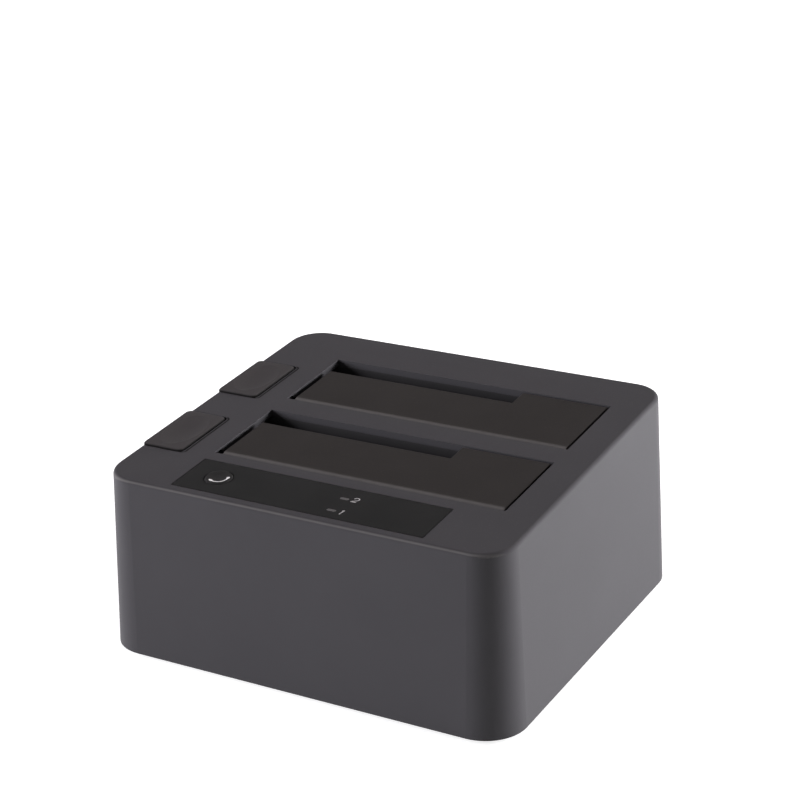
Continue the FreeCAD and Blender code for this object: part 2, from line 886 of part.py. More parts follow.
def button_shelf(index):
    """Shelf on the left of a shaft with two gussets and a raised guide round the stem."""
    y = button_middle(index)
    left = stem_x - stem_radius - shelf_thickness
    right = shaft_left - bay_wall / 2
    top = shelf_z()
    low = top - shelf_thickness
    plate = rounded_block(left, right + 4, y - shelf_width / 2, y + shelf_width / 2, low, top,
                          shelf_corner_radius)
    plate = plate.common(box(left, right, -reach, reach, low, top))
    pieces = [plate, post(stem_radius + stem_guide_wall, stem_x, y, low - stem_guide_drop, top)]
    drop = shaft_left - bay_wall - stem_x
    for side in (-1, 1):
        edge = y + side * (shelf_width / 2 - bay_wall / 2)
        pieces.append(side_plate([(right, low), (left + shelf_thickness, low), (right, low - drop * 0.6)],
                                 edge - bay_wall / 2, edge + bay_wall / 2))
    return pieces


def lever_span(index):
    """Front and rear end of an ejector lever's tube."""
    front = button_middle(index) - lever_arm_width / 2
    back = lever_pad_y(index) + lever_arm_width / 2
    return front, back


def lever_ears(index):
    """Two ears beside the lever's tube that carry its pin."""
    front, back = lever_span(index)
    right = shaft_left - bay_wall / 2
    foot = pivot_z - lever_tube_radius
    root = floor_top + lever_ear_rise
    ears = []
    for near in (front - rest_gap - lever_ear_thickness, back + rest_gap):
        plate = side_plate([(right, root), (right, foot), (pivot_x, foot), (pivot_x - lever_tube_radius, pivot_z)],
                           near, near + lever_ear_thickness)
        round_end = rod(lever_tube_radius, vector(pivot_x, near, pivot_z),
                        vector(pivot_x, near + lever_ear_thickness, pivot_z))
        ears.append(plate.fuse(round_end))
    return ears


def make_bay_screws():
    """The screws that hold both bay frames to the bosses of the top."""
    screws = []
    for index in (0, 1):
        for x, y in lug_places(index):
            seat = top_height(y) - top_wall - lug_drop - seat_gap - lug_thickness
            screws.append(pan_screw(x, y, seat - seat_gap - screw_head_height, bay_screw_length))
    return screws


def door_length():
    """Length of a door from its hinge axis to its back edge, along the slope."""
    return (bay_length - hinge_gap - hinge_radius - door_back_gap) / slope_cosine


def door_notch_y():
    """Back edge of a door beside the slot for narrow drives, from its hinge axis."""
    return (bay_length - hinge_gap - hinge_radius - slim_slot_depth) / slope_cosine


def door_outline(margin, z):
    """The door's face with the corner left open for narrow drives, set in by margin."""
    left = bay_left + door_left_gap + margin
    right = bay_right - door_right_gap - margin
    near = hinge_radius / 2 + margin
    far = door_length() - margin
    notch_y = door_notch_y() - margin
    notch_x = slim_slot_right() + margin
    corners = [(left, near), (right, near), (right, far), (notch_x, far), (notch_x, notch_y), (left, notch_y)]
    points = [vector(x, y, z) for x, y in corners]
    return Part.Face(Part.makePolygon(points + points[:1]))


def door_blank(left, right, low):
    """A door's plate in one piece with the round hinge edge that it runs into."""
    top = hinge_radius
    root = vector(left, math.sqrt(hinge_radius ** 2 - low ** 2), low)
    belly = vector(left, -hinge_radius * math.sqrt(0.5), -hinge_radius * math.sqrt(0.5))
    crest = vector(left, 0, top)
    far_top = vector(left, door_length(), top)
    far_low = vector(left, door_length(), low)
    edges = [
        Part.Arc(crest, belly, root).toShape(), Part.makeLine(root, far_low), Part.makeLine(far_low, far_top),
        Part.makeLine(far_top, crest),
    ]
    return Part.Face(Part.Wire(edges)).extrude(vector(right - left, 0, 0))


def make_door(index):
    """Flap with a round hinge edge, a ribbed underside, two stop tabs and a pocket for its spring."""
    left = bay_left + door_left_gap
    right = bay_right - door_right_gap
    top = hinge_radius
    low = top - door_thickness
    notch_y = door_notch_y()
    plate = door_blank(left, right, low)
    plate = plate.cut(box(left - 1, slim_slot_right(), notch_y, reach, low - 1, top + 1))
    crest = [edge for edge in plate.Edges
             if all(point.Z > top - touch for point in edge.Vertexes)
             and any(point.Y > hinge_radius for point in edge.Vertexes)]
    plate = plate.makeFillet(door_edge_radius, crest)
    rim = door_outline(0, low - door_rib_depth).extrude(vector(0, 0, door_rib_depth + overlap))
    rim = rim.cut(door_outline(door_rib_width, low - door_rib_depth - 1).extrude(vector(0, 0, door_rib_depth + 2)))
    tab_top = hinge_radius + door_sink - top_wall - rest_gap
    reach_left = left - door_left_gap - stop_tab_overlap
    reach_right = right + door_right_gap + stop_tab_overlap
    tab_low = tab_top - stop_tab_thickness
    tabs = [
        box(reach_left, left + 1, notch_y - stop_tab_length, notch_y, tab_low, tab_top),
        box(right - 1, reach_right, door_length() - stop_tab_length, door_length(), tab_low, tab_top),
    ]
    spring_left, spring_right = spring_span()
    rib_x = spring_left - rest_gap
    rib = box(rib_x - door_rib_width, rib_x, 0, door_length() - 1, low - door_rib_depth, low + overlap)
    pad = box(spring_left, spring_left + 3 * door_spring_wire, hinge_radius + 1, door_spring_leg + 1,
              rest_gap / 2 - door_spring_radius + door_spring_wire / 2, low + overlap)
    door = join(plate, [rim, rib, pad] + tabs)
    pocket_radius = door_spring_radius + door_spring_wire / 2 + door_spring_relief
    cuts = [
        rod(hinge_pin_radius + running_gap, vector(left - 1, 0, 0), vector(right + 1, 0, 0)),
        rod(pocket_radius, vector(spring_left - rest_gap, 0, 0), vector(spring_right + rest_gap, 0, 0)),
        box(spring_left - rest_gap, spring_right + rest_gap, -hinge_radius - overlap, hinge_radius + overlap, -reach, 0),
    ]
    return on_hinge(door.cut(cuts), index)


def spring_span():
    """Left and right end of a door spring's coil."""
    right = bay_right - door_right_gap - door_spring_inset
    return right - door_spring_length, right


def make_hinge_pin(index):
    """Steel rod through both side walls of a shaft and the door's barrel."""
    left = shaft_left - bay_wall - hinge_seat_reach
    right = shaft_right + bay_wall + hinge_seat_reach
    pin = rod(hinge_pin_radius, vector(left, 0, 0), vector(right, 0, 0))
    ends = [edge for edge in pin.Edges if edge.Curve.TypeId == "Part::GeomCircle"]
    return on_hinge(pin.makeChamfer(hinge_pin_chamfer, ends), index)


def coil(radius, wire, turns, length):
    """Wire wound about the Z axis from height 0, starting on the +X side, with a plain many-sided section."""
    path = Part.makeHelix(length / turns, length, radius)
    turn = math.tau / spring_sides
    corners = [vector(radius + wire / 2 * math.cos(turn * side), 0, wire / 2 * math.sin(turn * side))
               for side in range(spring_sides)]
    section = Part.makePolygon(corners + corners[:1])
    sweep = Part.BRepOffsetAPI.MakePipeShell(Part.Wire(path.Edges))
    sweep.setFrenetMode(True)
    sweep.add(section)
    sweep.build()
    sweep.makeSolid()
    return sweep.shape()


def make_door_spring(index):
    """Torsion spring on the hinge pin: one leg under the door, one down the shaft's front wall."""
    spring_left, spring_right = spring_span()
    wire = door_spring_wire
    length = spring_right - spring_left - wire
    turns = door_spring_turns - 0.25
    body = coil(door_spring_radius, wire, turns, length)
    body.rotate(vector(0, 0, 0), vector(0, 1, 0), 90)
    body.translate(vector(spring_left + wire / 2, 0, 0))
    start = vector(spring_left + wire / 2, 0, -door_spring_radius)
    end = vector(spring_right - wire / 2, -door_spring_radius, 0)
    legs = [
        rod(wire / 2, start, start + vector(0, door_spring_leg, 0)),
        rod(wire / 2, end, end + vector(0, 0, -door_spring_leg)),
        Part.makeSphere(wire / 2, start),
        Part.makeSphere(wire / 2, end),
    ]
    return on_hinge(body.fuse(legs), index)


def make_eject_button(index):
    """Dished cap on the left edge with an outer skirt, an inner ring with snap barbs and a long stem."""
    y = button_middle(index)
    front = y - button_length / 2
    back = y + button_length / 2
    floor = button_floor(index)
    cap = rounded_block(button_left, button_right, front, back, floor, floor + 4 * button_crown, button_corner_radius)
    cap = cap.common(under_top(-button_proud))
    crest = [edge for edge in cap.Edges
             if all(point.Z > top_height(point.Y) + button_proud / 2 for point in edge.Vertexes)]
    cap = cap.makeFillet(button_edge_radius, crest)
    cap = cap.cut(button_dish(index))

    root = floor + overlap
    skirt = rounded_block(button_left, button_right, front, back, floor - skirt_depth, root, button_corner_radius)
    skirt = skirt.common(box(button_left, button_left + skirt_thickness, -reach, reach, 0, reach))
    ring_left = -(body_width / 2 - wall - side_inset(floor)) + rest_gap + seam
    ring = rounded_block(ring_left, button_right, front, back, floor - ring_depth, root, button_corner_radius)
    inset = skirt_thickness
    ring = ring.cut(rounded_block(ring_left + inset, button_right - inset, front + inset, back - inset,
                                  floor - ring_depth - 1, floor + 1, button_corner_radius - inset))
    tip = stem_tip_z()
    profile = [(0, tip + overlap), (stem_radius, tip + stem_radius), (stem_radius, root), (0, root)]
    stem = turned(profile, vector(stem_x, y, 0))
    stem = stem.fuse(Part.makeSphere(stem_radius, vector(stem_x, y, tip + stem_radius)))
    collar = post(stem_collar_radius, stem_x, y, shelf_z() + button_travel + stem_collar_rise, root)
    pieces = [skirt, ring, stem, collar] + snap_barbs(index)
    return join(cap, pieces)


def stem_tip_z():
    """Lower end of an eject button's stem, just above its lever."""
    return pivot_z + lever_arm_rise + rest_gap


def button_dish(index):
    """Shallow hollow for a finger, curved both ways."""
    y = button_middle(index)
    major = button_dish_long_radius - button_dish_cross_radius
    ring = Part.makeTorus(major, button_dish_cross_radius, vector(0, 0, 0), vector(1, 0, 0))
    ring.translate(vector(0, 0, button_dish_long_radius + button_proud - button_dish_depth))
    ring = lean(ring, y, top_height(y))
    ring.translate(vector((button_left + button_right) / 2, 0, 0))
    return ring


def snap_barbs(index):
    """Two barbs on the ring's right side that catch under the top."""
    barbs = []
    for side in (-1, 1):
        middle = button_middle(index) + side * button_length / 4
        front = middle - barb_width / 2
        top = top_height(front) - top_wall - rest_gap
        root = button_right - skirt_thickness / 2
        tip = button_right + button_gap + barb_reach
        foot = button_floor(index) - ring_depth
        barbs.append(side_plate([(root, top), (tip, top), (tip, top - barb_lip), (root, foot)],
                                front, front + barb_width))
    return barbs


def make_eject_spring(index):
    """Compression spring round the stem, from the shelf to the button's crown."""
    low = shelf_z() + eject_spring_wire / 2 + seat_gap
    high = button_floor(index) - eject_spring_wire / 2 - seat_gap
    spring = coil(eject_spring_radius, eject_spring_wire, eject_spring_turns, high - low)
    spring.translate(vector(stem_x, button_middle(index), low))
    return spring


def make_ejector_lever(index):
    """Rocker: a tube on its pin, a short arm under the button's stem and a long arm with a lifting finger."""
    front, back = lever_span(index)
    tube = rod(lever_tube_radius, vector(pivot_x, front, pivot_z), vector(pivot_x, back, pivot_z))
    arm_top = pivot_z + lever_arm_rise
    arm_low = arm_top - lever_arm_thickness
    press_x = stem_x - stem_radius - lever_tip_reach
    y = button_middle(index)
    half = lever_arm_width / 2
    short_arm = side_plate([(pivot_x, arm_low), (pivot_x, arm_top), (press_x, arm_top),
                            (press_x, arm_top - lever_tip_thickness)], y - half, y + half)
    finger_right = pivot_x + lever_finger_reach
    finger_left = finger_right - lever_finger_thickness
    finger_top = drive_seat - rest_gap
    nose = lever_finger_thickness / 4
    y = lever_pad_y(index)
    long_arm = side_plate([
        (pivot_x, arm_low), (finger_right - 2 * nose, arm_low), (finger_right, arm_low + 2 * nose),
        (finger_right, finger_top - nose), (finger_right - nose, finger_top), (finger_left + nose, finger_top),
        (finger_left, finger_top - nose), (finger_left, arm_top + nose), (finger_left - nose, arm_top),
        (pivot_x, arm_top)], y - half, y + half)
    lever = join(tube, [short_arm, long_arm])
    return lever.cut(rod(lever_pin_radius + running_gap, vector(pivot_x, front - 1, pivot_z),
                         vector(pivot_x, back + 1, pivot_z)))


def make_lever_pin(index):
    """Steel pin through both ears and the lever's tube."""
    front, back = lever_span(index)
    start = vector(pivot_x, front - rest_gap - lever_ear_thickness, pivot_z)
    end = vector(pivot_x, back + rest_gap + lever_ear_thickness, pivot_z)
    pin = rod(lever_pin_radius, start, end)
    ends = [edge for edge in pin.Edges if edge.Curve.TypeId == "Part::GeomCircle"]
    return pin.makeChamfer(lever_pin_chamfer, ends)


def contact_places():
    """X of each contact: the power group at the left, then the signal group."""
    span = (power_contacts - 1) * contact_pitch + contact_break + (signal_contacts - 1) * contact_pitch
    first = socket_centre_x - span / 2
    power = [first + number * contact_pitch for number in range(power_contacts)]
    start = power[-1] + contact_break
    signal = [start + number * contact_pitch for number in range(signal_contacts)]
    return power, signal


def make_drive_socket(index):
    """Tall upright socket with a chamfered mouth and two keyed blade slots."""
    y = bay_back(index) - socket_setback
    top = drive_seat + socket_insertion
    shoulder = drive_seat - 2 * rest_gap
    half_length = socket_length / 2
    half_depth = socket_thickness / 2
    x = socket_centre_x
    base = rounded_block(x - half_length, x + half_length, y - half_depth, y + half_depth, board_top + grip_gap,
                         shoulder, socket_corner_radius)
    half_mouth = socket_mouth_length / 2
    mouth_depth = socket_mouth_thickness / 2
    mouth = rounded_block(x - half_mouth, x + half_mouth, y - mouth_depth, y + mouth_depth, shoulder - 1, top,
                          socket_mouth_radius)
    crest = [edge for edge in mouth.Edges if all(point.Z > top - touch for point in edge.Vertexes)]
    mouth = mouth.makeChamfer(socket_mouth_bevel, crest)
    socket = join(base, [mouth])
    low = top - contact_height - blade_slot_clearance
    cuts = []
    for group in contact_places():
        left = group[0] - contact_pitch
        right = group[-1] + contact_pitch
        cuts.append(box(left, right, y - blade_slot / 2, y + blade_slot / 2, low, top + 1))
        cuts.append(box(right - blade_slot, right, y - blade_slot / 2, y + blade_key_depth, low, top + 1))
    return socket.cut(cuts)


def make_socket_contacts(index):
    """Bowed spring contacts along the front side of both blade slots."""
    y = bay_back(index) - socket_setback - blade_slot / 2 + grip_gap
    foot = drive_seat + socket_insertion - contact_height - contact_setback
    bow = contact_bow
    outline = [
        (0, 0), (contact_thickness, 0), (contact_thickness, contact_height * 0.35),
        (contact_thickness + bow, contact_height * 0.75), (contact_thickness, contact_height),
        (0, contact_height), (bow, contact_height * 0.75), (0, contact_height * 0.35),
    ]
    blades = []
    for group in contact_places():
        for x in group:
            points = [(y + across, foot + up) for across, up in outline]
            blades.append(cross_plate(points, x - contact_width / 2, x + contact_width / 2))
    return blades


def make_main_board():
    """Circuit board on four posts, with its screw holes."""
    board = rounded_block(board_left, board_right, board_front_y(), board_rear_y(), board_bottom, board_top,
                          board_corner_radius)
    holes = [post(screw_radius + seam, x, y, board_bottom - 1, board_top + 1) for x, y in board_screw_places()]
    return board.cut(holes)


def make_board_screws():
    """Four screws that point down into the board posts."""
    screws = []
    for x, y in board_screw_places():
        screw = pan_screw(x, y, 0, board_screw_length)
        screw.rotate(vector(x, y, 0), vector(1, 0, 0), 180)
        screw.translate(vector(0, 0, board_top + screw_head_height + seat_gap))
        screws.append(screw)
    return screws


def rear_strip_y():
    """Middle of the row of components along the board's rear edge, behind the rear bay."""
    return board_rear_y() - board_row_inset


def make_bridge_chip():
    """Flat chip with a bevelled edge and a pin-one dimple, between the two sockets."""
    half = chip_size / 2
    x = socket_centre_x + socket_length / 2 + chip_offset
    y = (bay_front(1) + bay_back(0)) / 2
    base = board_top + grip_gap
    top = base + chip_height
    chip = box(x - half, x + half, y - half, y + half, base, top)
    crest = [edge for edge in chip.Edges if all(point.Z > top - touch for point in edge.Vertexes)]
    chip = chip.makeChamfer(chip_bevel, crest)
    mark = vector(x - chip_size / 3, y - chip_size / 3, top + chip_mark_radius * 0.6)
    return chip.cut(Part.makeSphere(chip_mark_radius, mark))


def make_capacitors():
    """Can capacitors on their bases, in a row in the strip behind the rear bay."""
    y = rear_strip_y()
    half = capacitor_base_size / 2
    foot = board_top + grip_gap
    seat = board_top + capacitor_base_height
    waist = capacitor_radius - capacitor_groove_depth
    groove = capacitor_base_height + capacitor_groove_rise
    profile = [
        (0, 0), (capacitor_radius, 0), (capacitor_radius, groove - capacitor_groove_rise), (waist, groove),
        (capacitor_radius, groove + capacitor_groove_rise),
        (capacitor_radius, capacitor_height - capacitor_groove_rise),
        (capacitor_radius - capacitor_groove_rise, capacitor_height), (0, capacitor_height),
    ]
    cans = []
    for number in range(capacitor_count):
        x = board_left + capacitor_margin + number * capacitor_pitch
        base = box(x - half, x + half, y - half, y + half, foot, seat)
        corners = [edge for edge in base.Edges
                   if abs(edge.Vertexes[0].Z - edge.Vertexes[1].Z) > foot_recess and edge.Vertexes[0].Y > y]
        base = base.makeChamfer(capacitor_base_size / 6, corners)
        cans.append(join(base, [turned(profile, vector(x, y, seat - grip_gap))]))
    return cans


def make_power_coil():
    """Shielded coil between the capacitors and the ports."""
    half = coil_size / 2
    x = board_left + capacitor_margin + capacitor_count * capacitor_pitch
    y = rear_strip_y()
    base = board_top + grip_gap
    top = base + coil_height
    body = rounded_block(x - half, x + half, y - half, y + half, base, top, coil_corner_radius)
    crest = [edge for edge in body.Edges if all(point.Z > top - touch for point in edge.Vertexes)]
    return body.makeFillet(coil_edge_radius, crest)


def make_crystal():
    """Low oval can beside the bridge chip."""
    x = socket_centre_x + socket_length / 2 + crystal_offset
    y = (bay_front(1) + bay_back(0)) / 2
    across = crystal_width / 2
    along = crystal_length / 2
    base = board_top + grip_gap
    top = base + crystal_height
    can = rounded_block(x - across, x + across, y - along, y + along, base, top, across - overlap)
    crest = [edge for edge in can.Edges if all(point.Z > top - touch for point in edge.Vertexes)]
    can = can.makeFillet(crystal_rim, crest)
    across += crystal_rim
    along += crystal_rim
    flange = rounded_block(x - across, x + across, y - along, y + along, base, base + crystal_rim_height,
                           across - overlap)
    return join(flange, [can])


def make_usb_shell():
    """Folded metal shell of the data port, with its mouth in the rear wall."""
    mouth = rear_wall_y - port_sink
    low = board_top + grip_gap
    half = usb_width / 2
    shell = box(usb_x - half, usb_x + half, mouth - usb_length, mouth, low, low + usb_height)
    folds = [edge for edge in shell.Edges if abs(edge.Vertexes[0].Y - edge.Vertexes[1].Y) > 1]
    shell = shell.makeFillet(0.5, folds)
    return shell.cut(box(usb_x - half + usb_shell, usb_x + half - usb_shell, mouth - usb_length + usb_shell,
                         mouth + 1, low + usb_shell, low + usb_height - usb_shell))


def make_usb_insert():
    """Moulded insert of the data port: a square mouth with sloped shoulders, a step above it and two tongues."""
    mouth = rear_wall_y - port_sink
    low = board_top + grip_gap + usb_shell + grip_gap
    high = board_top + usb_height - usb_shell
    half = usb_width / 2 - usb_shell - grip_gap
    back = mouth - usb_length + usb_shell + grip_gap
    block = box(usb_x - half, usb_x + half, back, mouth - rest_gap, low, high)
    floor = low + insert_floor
    wide = insert_width / 2
    narrow = insert_neck_width / 2
    opening = [(wide, 0), (wide, insert_shoulder), (narrow, insert_neck_foot), (narrow, insert_neck_top)]
    right_side = [(usb_x + x, floor + z) for x, z in opening]
    left_side = [(usb_x - x, floor + z) for x, z in reversed(opening)]
    cavity = side_plate(right_side + left_side, mouth - insert_depth, mouth + 1)
    tongues = []
    for width, foot, top in ((tongue_width, tongue_foot, tongue_top),
                             (small_tongue_width, small_tongue_foot, small_tongue_top)):
        tongues.append(box(usb_x - width / 2, usb_x + width / 2, mouth - insert_depth - rest_gap,
                           mouth - tongue_setback, floor + foot, floor + top))
    return block.cut(cavity).fuse(tongues)


def make_power_jack():
    """Block of the power inlet with a round bore."""
    mouth = rear_wall_y - port_sink
    low = board_top + grip_gap
    half = jack_width / 2
    block = box(jack_x - half, jack_x + half, mouth - jack_length, mouth, low, low + jack_height)
    tops = [edge for edge in block.Edges
            if abs(edge.Vertexes[0].Y - edge.Vertexes[1].Y) > 1 and edge.Vertexes[0].Z > low + 1]
    block = block.makeFillet(jack_corner_radius, tops)
    centre = jack_axis()
    floor = centre + vector(0, jack_back_wall - jack_length, 0)
    return block.cut(rod(jack_bore_radius, floor, centre + vector(0, 1, 0)))


def jack_axis():
    """Middle of the power inlet's mouth."""
    return vector(jack_x, rear_wall_y - port_sink, board_top + jack_height / 2 + jack_axis_lift)


def make_jack_pin():
    """Round centre pin of the power inlet."""
    centre = jack_axis()
    start = centre + vector(0, jack_back_wall + grip_gap - jack_length, 0)
    pin = rod(jack_pin_radius, start, centre + vector(0, -jack_pin_setback, 0))
    tip = [edge for edge in pin.Edges if all(point.Y > start.y + 1 for point in edge.Vertexes)
           and edge.Curve.TypeId == "Part::GeomCircle"]
    return pin.makeFillet(jack_pin_radius / 2, tip)


def write(name, pieces):
    """Write one named sub-part, which may be a group of separate solids."""
    solids = pieces if isinstance(pieces, list) else [pieces]
    shape = solids[0] if len(solids) == 1 else Part.makeCompound(solids)
    shape.exportStep("parts/" + name + ".step")


def main():
    """Build every sub-part in the order of assembly and write it."""
    os.makedirs("parts", exist_ok=True)
    write("top_housing", make_top_housing())
    write("bottom_cover", make_bottom_cover())
    write("rubber_feet", make_rubber_feet())
    write("base_screws", make_base_screws())
    write("control_panel", make_control_panel())
    write("light_pipes", make_light_pipes())
    write("power_button", make_power_button())
    write("switch_plunger", make_switch_plunger())
    write("push_switch", make_push_switch())
    write("control_board", make_control_board())
    write("control_board_screws", make_control_screws())
    write("indicator_lamps", make_indicator_lamps())
    write("ribbon_cable", make_ribbon_cable())
    write("ribbon_sockets", make_ribbon_sockets())
    write("bay_frame_screws", make_bay_screws())
    for index, side in enumerate(("front", "rear")):
        write(side + "_bay_frame", make_bay_frame(index))
        write(side + "_door", make_door(index))
        write(side + "_hinge_pin", make_hinge_pin(index))
        write(side + "_door_spring", make_door_spring(index))
        write(side + "_eject_button", make_eject_button(index))
        write(side + "_eject_spring", make_eject_spring(index))
        write(side + "_ejector_lever", make_ejector_lever(index))
        write(side + "_lever_pin", make_lever_pin(index))
        write(side + "_drive_socket", make_drive_socket(index))
        write(side + "_socket_contacts", make_socket_contacts(index))
    write("main_board", make_main_board())
    write("main_board_screws", make_board_screws())
    write("bridge_chip", make_bridge_chip())
    write("capacitors", make_capacitors())
    write("power_coil", make_power_coil())
    write("crystal", make_crystal())
    write("usb_port_shell", make_usb_shell())
    write("usb_port_insert", make_usb_insert())
    write("power_jack", make_power_jack())
    write("power_jack_pin", make_jack_pin())


main()
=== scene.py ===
"""Looks of a desktop dock with two upright drive bays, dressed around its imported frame."""
import sys

import json
import logging
import math
from dataclasses import dataclass, field
from enum import Enum
from functools import cached_property
from typing import Iterable

import bpy
from bpy.types import Material, Node, NodeSocket, NodeTree, Object
from mathutils import Matrix, Vector
from mathutils.bvhtree import BVHTree


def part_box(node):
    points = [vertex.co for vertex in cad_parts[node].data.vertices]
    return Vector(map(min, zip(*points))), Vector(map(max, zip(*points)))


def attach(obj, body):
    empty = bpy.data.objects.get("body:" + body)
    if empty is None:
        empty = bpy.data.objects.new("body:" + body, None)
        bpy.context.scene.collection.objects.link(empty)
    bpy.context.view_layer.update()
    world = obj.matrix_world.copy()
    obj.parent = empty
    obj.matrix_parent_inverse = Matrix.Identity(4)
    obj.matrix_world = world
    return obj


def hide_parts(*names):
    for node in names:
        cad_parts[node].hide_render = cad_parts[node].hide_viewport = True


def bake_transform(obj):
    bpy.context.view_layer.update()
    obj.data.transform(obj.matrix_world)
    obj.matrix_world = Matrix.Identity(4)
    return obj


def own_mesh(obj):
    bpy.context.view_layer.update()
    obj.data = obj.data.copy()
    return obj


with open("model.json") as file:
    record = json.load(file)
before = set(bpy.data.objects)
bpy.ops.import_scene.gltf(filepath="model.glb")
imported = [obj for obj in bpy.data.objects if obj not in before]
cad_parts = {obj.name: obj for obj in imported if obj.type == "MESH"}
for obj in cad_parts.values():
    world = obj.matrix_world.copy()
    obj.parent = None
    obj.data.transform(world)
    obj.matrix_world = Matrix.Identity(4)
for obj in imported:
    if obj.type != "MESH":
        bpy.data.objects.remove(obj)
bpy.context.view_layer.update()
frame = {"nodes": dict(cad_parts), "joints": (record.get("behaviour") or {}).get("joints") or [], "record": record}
SLOT_OF: dict[str, str] = {part["node"]: part["material_slot"] for part in frame["record"]["subparts"]}
LOG = logging.getLogger("dock")
MM = 0.001

Colour = tuple[float, float, float]
Point = tuple[float, float]
Span = tuple[float, float]


class Side(Enum):
    """The two drive bays, named as their CAD nodes are."""

    FRONT = "front"
    REAR = "rear"


class Tone(Enum):
    """Linear colours of the dock's materials, of the dust that settles on them, and of a painted shade and a
    painted sheen.
    """

    CHARCOAL = (0.056, 0.054, 0.058)
    BLACK = (0.028, 0.027, 0.028)
    INK = (0.012, 0.0115, 0.0115)
    SILVER = (0.62, 0.62, 0.63)
    STEEL = (0.47, 0.47, 0.48)
    GOLD = (0.83, 0.60, 0.24)
    DUST = (0.34, 0.33, 0.31)
    # near black for the painted shade on upright faces in openings
    GRIME = (0.004, 0.004, 0.004)
    # pale colour for the painted sheen on round front edges
    RUBBED = (0.14, 0.134, 0.13)
    WHITE = (1.0, 1.0, 1.0)


class Socket(Enum):
    """Kinds of socket on a shader node group."""

    VALUE = "NodeSocketFloat"
    COLOUR = "NodeSocketColor"
    VECTOR = "NodeSocketVector"


def clear_nodes(owner: bpy.types.ID) -> NodeTree:
    """The emptied node tree of a material or a world.

    Args:
        owner: The material or world.

    Returns:
        Its tree.
    """
    owner.use_nodes = True
    owner.node_tree.nodes.clear()
    return owner.node_tree


def put_in_scene(name: str, data: bpy.types.ID) -> Object:
    """Make an object and link it to the scene.

    Args:
        name: The object's name.
        data: Its mesh, lamp or camera.

    Returns:
        The object.
    """
    made = bpy.data.objects.new(name, data)
    bpy.context.scene.collection.objects.link(made)
    return made


class Graph:
    """Adds and wires the nodes of one shader tree."""

    def __init__(self, tree: NodeTree) -> None:
        """Hold the tree of a material, a world or a group."""
        self.tree = tree

    def add(self, kind: str, settings: dict | None = None, **values: object) -> Node:
        """Add one node.

        Args:
            kind: The node's type, without its ShaderNode prefix.
            settings: Its properties, by name.
            values: Its inputs, as feed_named takes them.

        Returns:
            The node.
        """
        node = self.tree.nodes.new("ShaderNode" + kind)
        for name, value in (settings or {}).items():
            setattr(node, name, value)
        self.feed_named(node, **values)
        return node

    def feed(self, socket: NodeSocket, value: object) -> None:
        """Give an input its value or its link.

        Args:
            socket: The input.
            value: A number, a colour, a vector or an output socket.
        """
        if isinstance(value, NodeSocket):
            self.tree.links.new(value, socket)
        elif socket.type == "RGBA":
            socket.default_value = (*value[:3], 1.0)
        else:
            socket.default_value = value

    def feed_named(self, node: Node, **values: object) -> None:
        """Feed inputs of a node by name; an underscore stands for a space."""
        for name, value in values.items():
            self.feed(node.inputs[name.replace("_", " ")], value)

    def feed_in_order(self, node: Node, values: Iterable[object], first: int = 0) -> None:
        """Feed a node's inputs one after the other, from a numbered one on."""
        for number, value in enumerate(values, start=first):
            self.feed(node.inputs[number], value)

    def math(self, operation: str, *values: object, clamp: bool = False) -> NodeSocket:
        """One step of arithmetic.

        Args:
            operation: The operation's name in Blender.
            values: Numbers or output sockets.
            clamp: Whether to keep the result from 0 to 1.

        Returns:
            The result's socket.
        """
        node = self.add("Math", {"operation": operation, "use_clamp": clamp})
        self.feed_in_order(node, values)
        return node.outputs[0]

    def times(self, first: object, second: object, clamp: bool = False) -> NodeSocket:
        """The product of two values, from 0 to 1 if it is clamped."""
        return self.math("MULTIPLY", first, second, clamp=clamp)

    def blend(self, share: object, low: object, high: object) -> NodeSocket:
        """Mix two colours.

        Args:
            share: How much of the second colour, a number or a socket.
            low: The first colour.
            high: The second colour.

        Returns:
            The mixed colour's socket.
        """
        first_colour, mixed_colour = 6, 2
        node = self.add("Mix", {"data_type": "RGBA"})
        self.feed(node.inputs[0], share)
        self.feed_in_order(node, (low, high), first=first_colour)
        return node.outputs[mixed_colour]

    def spread(self, value: object, low: object, high: object) -> NodeSocket:
        """Carry a value from 0 to 1 onto the range from low to high."""
        return self.add("MapRange", {"clamp": True}, Value=value, To_Min=low, To_Max=high).outputs[0]

    def noise(self, scale: object, detail: float = 2.0, vector: object = None) -> NodeSocket:
        """Smooth noise over the piece.

        Args:
            scale: Cells per metre.
            detail: Octaves.
            vector: Coordinates other than the piece's own.

        Returns:
            The noise value's socket.
        """
        place = vector if vector is not None else self.place()
        return self.add("TexNoise", {}, Vector=place, Scale=scale, Detail=detail).outputs[0]

    def place(self) -> NodeSocket:
        """The piece's own coordinates, in metres."""
        return self.add("TexCoord").outputs["Object"]

    def parts(self, vector: NodeSocket) -> bpy.types.bpy_prop_collection:
        """The X, Y and Z of a vector."""
        return self.add("SeparateXYZ", {}, Vector=vector).outputs


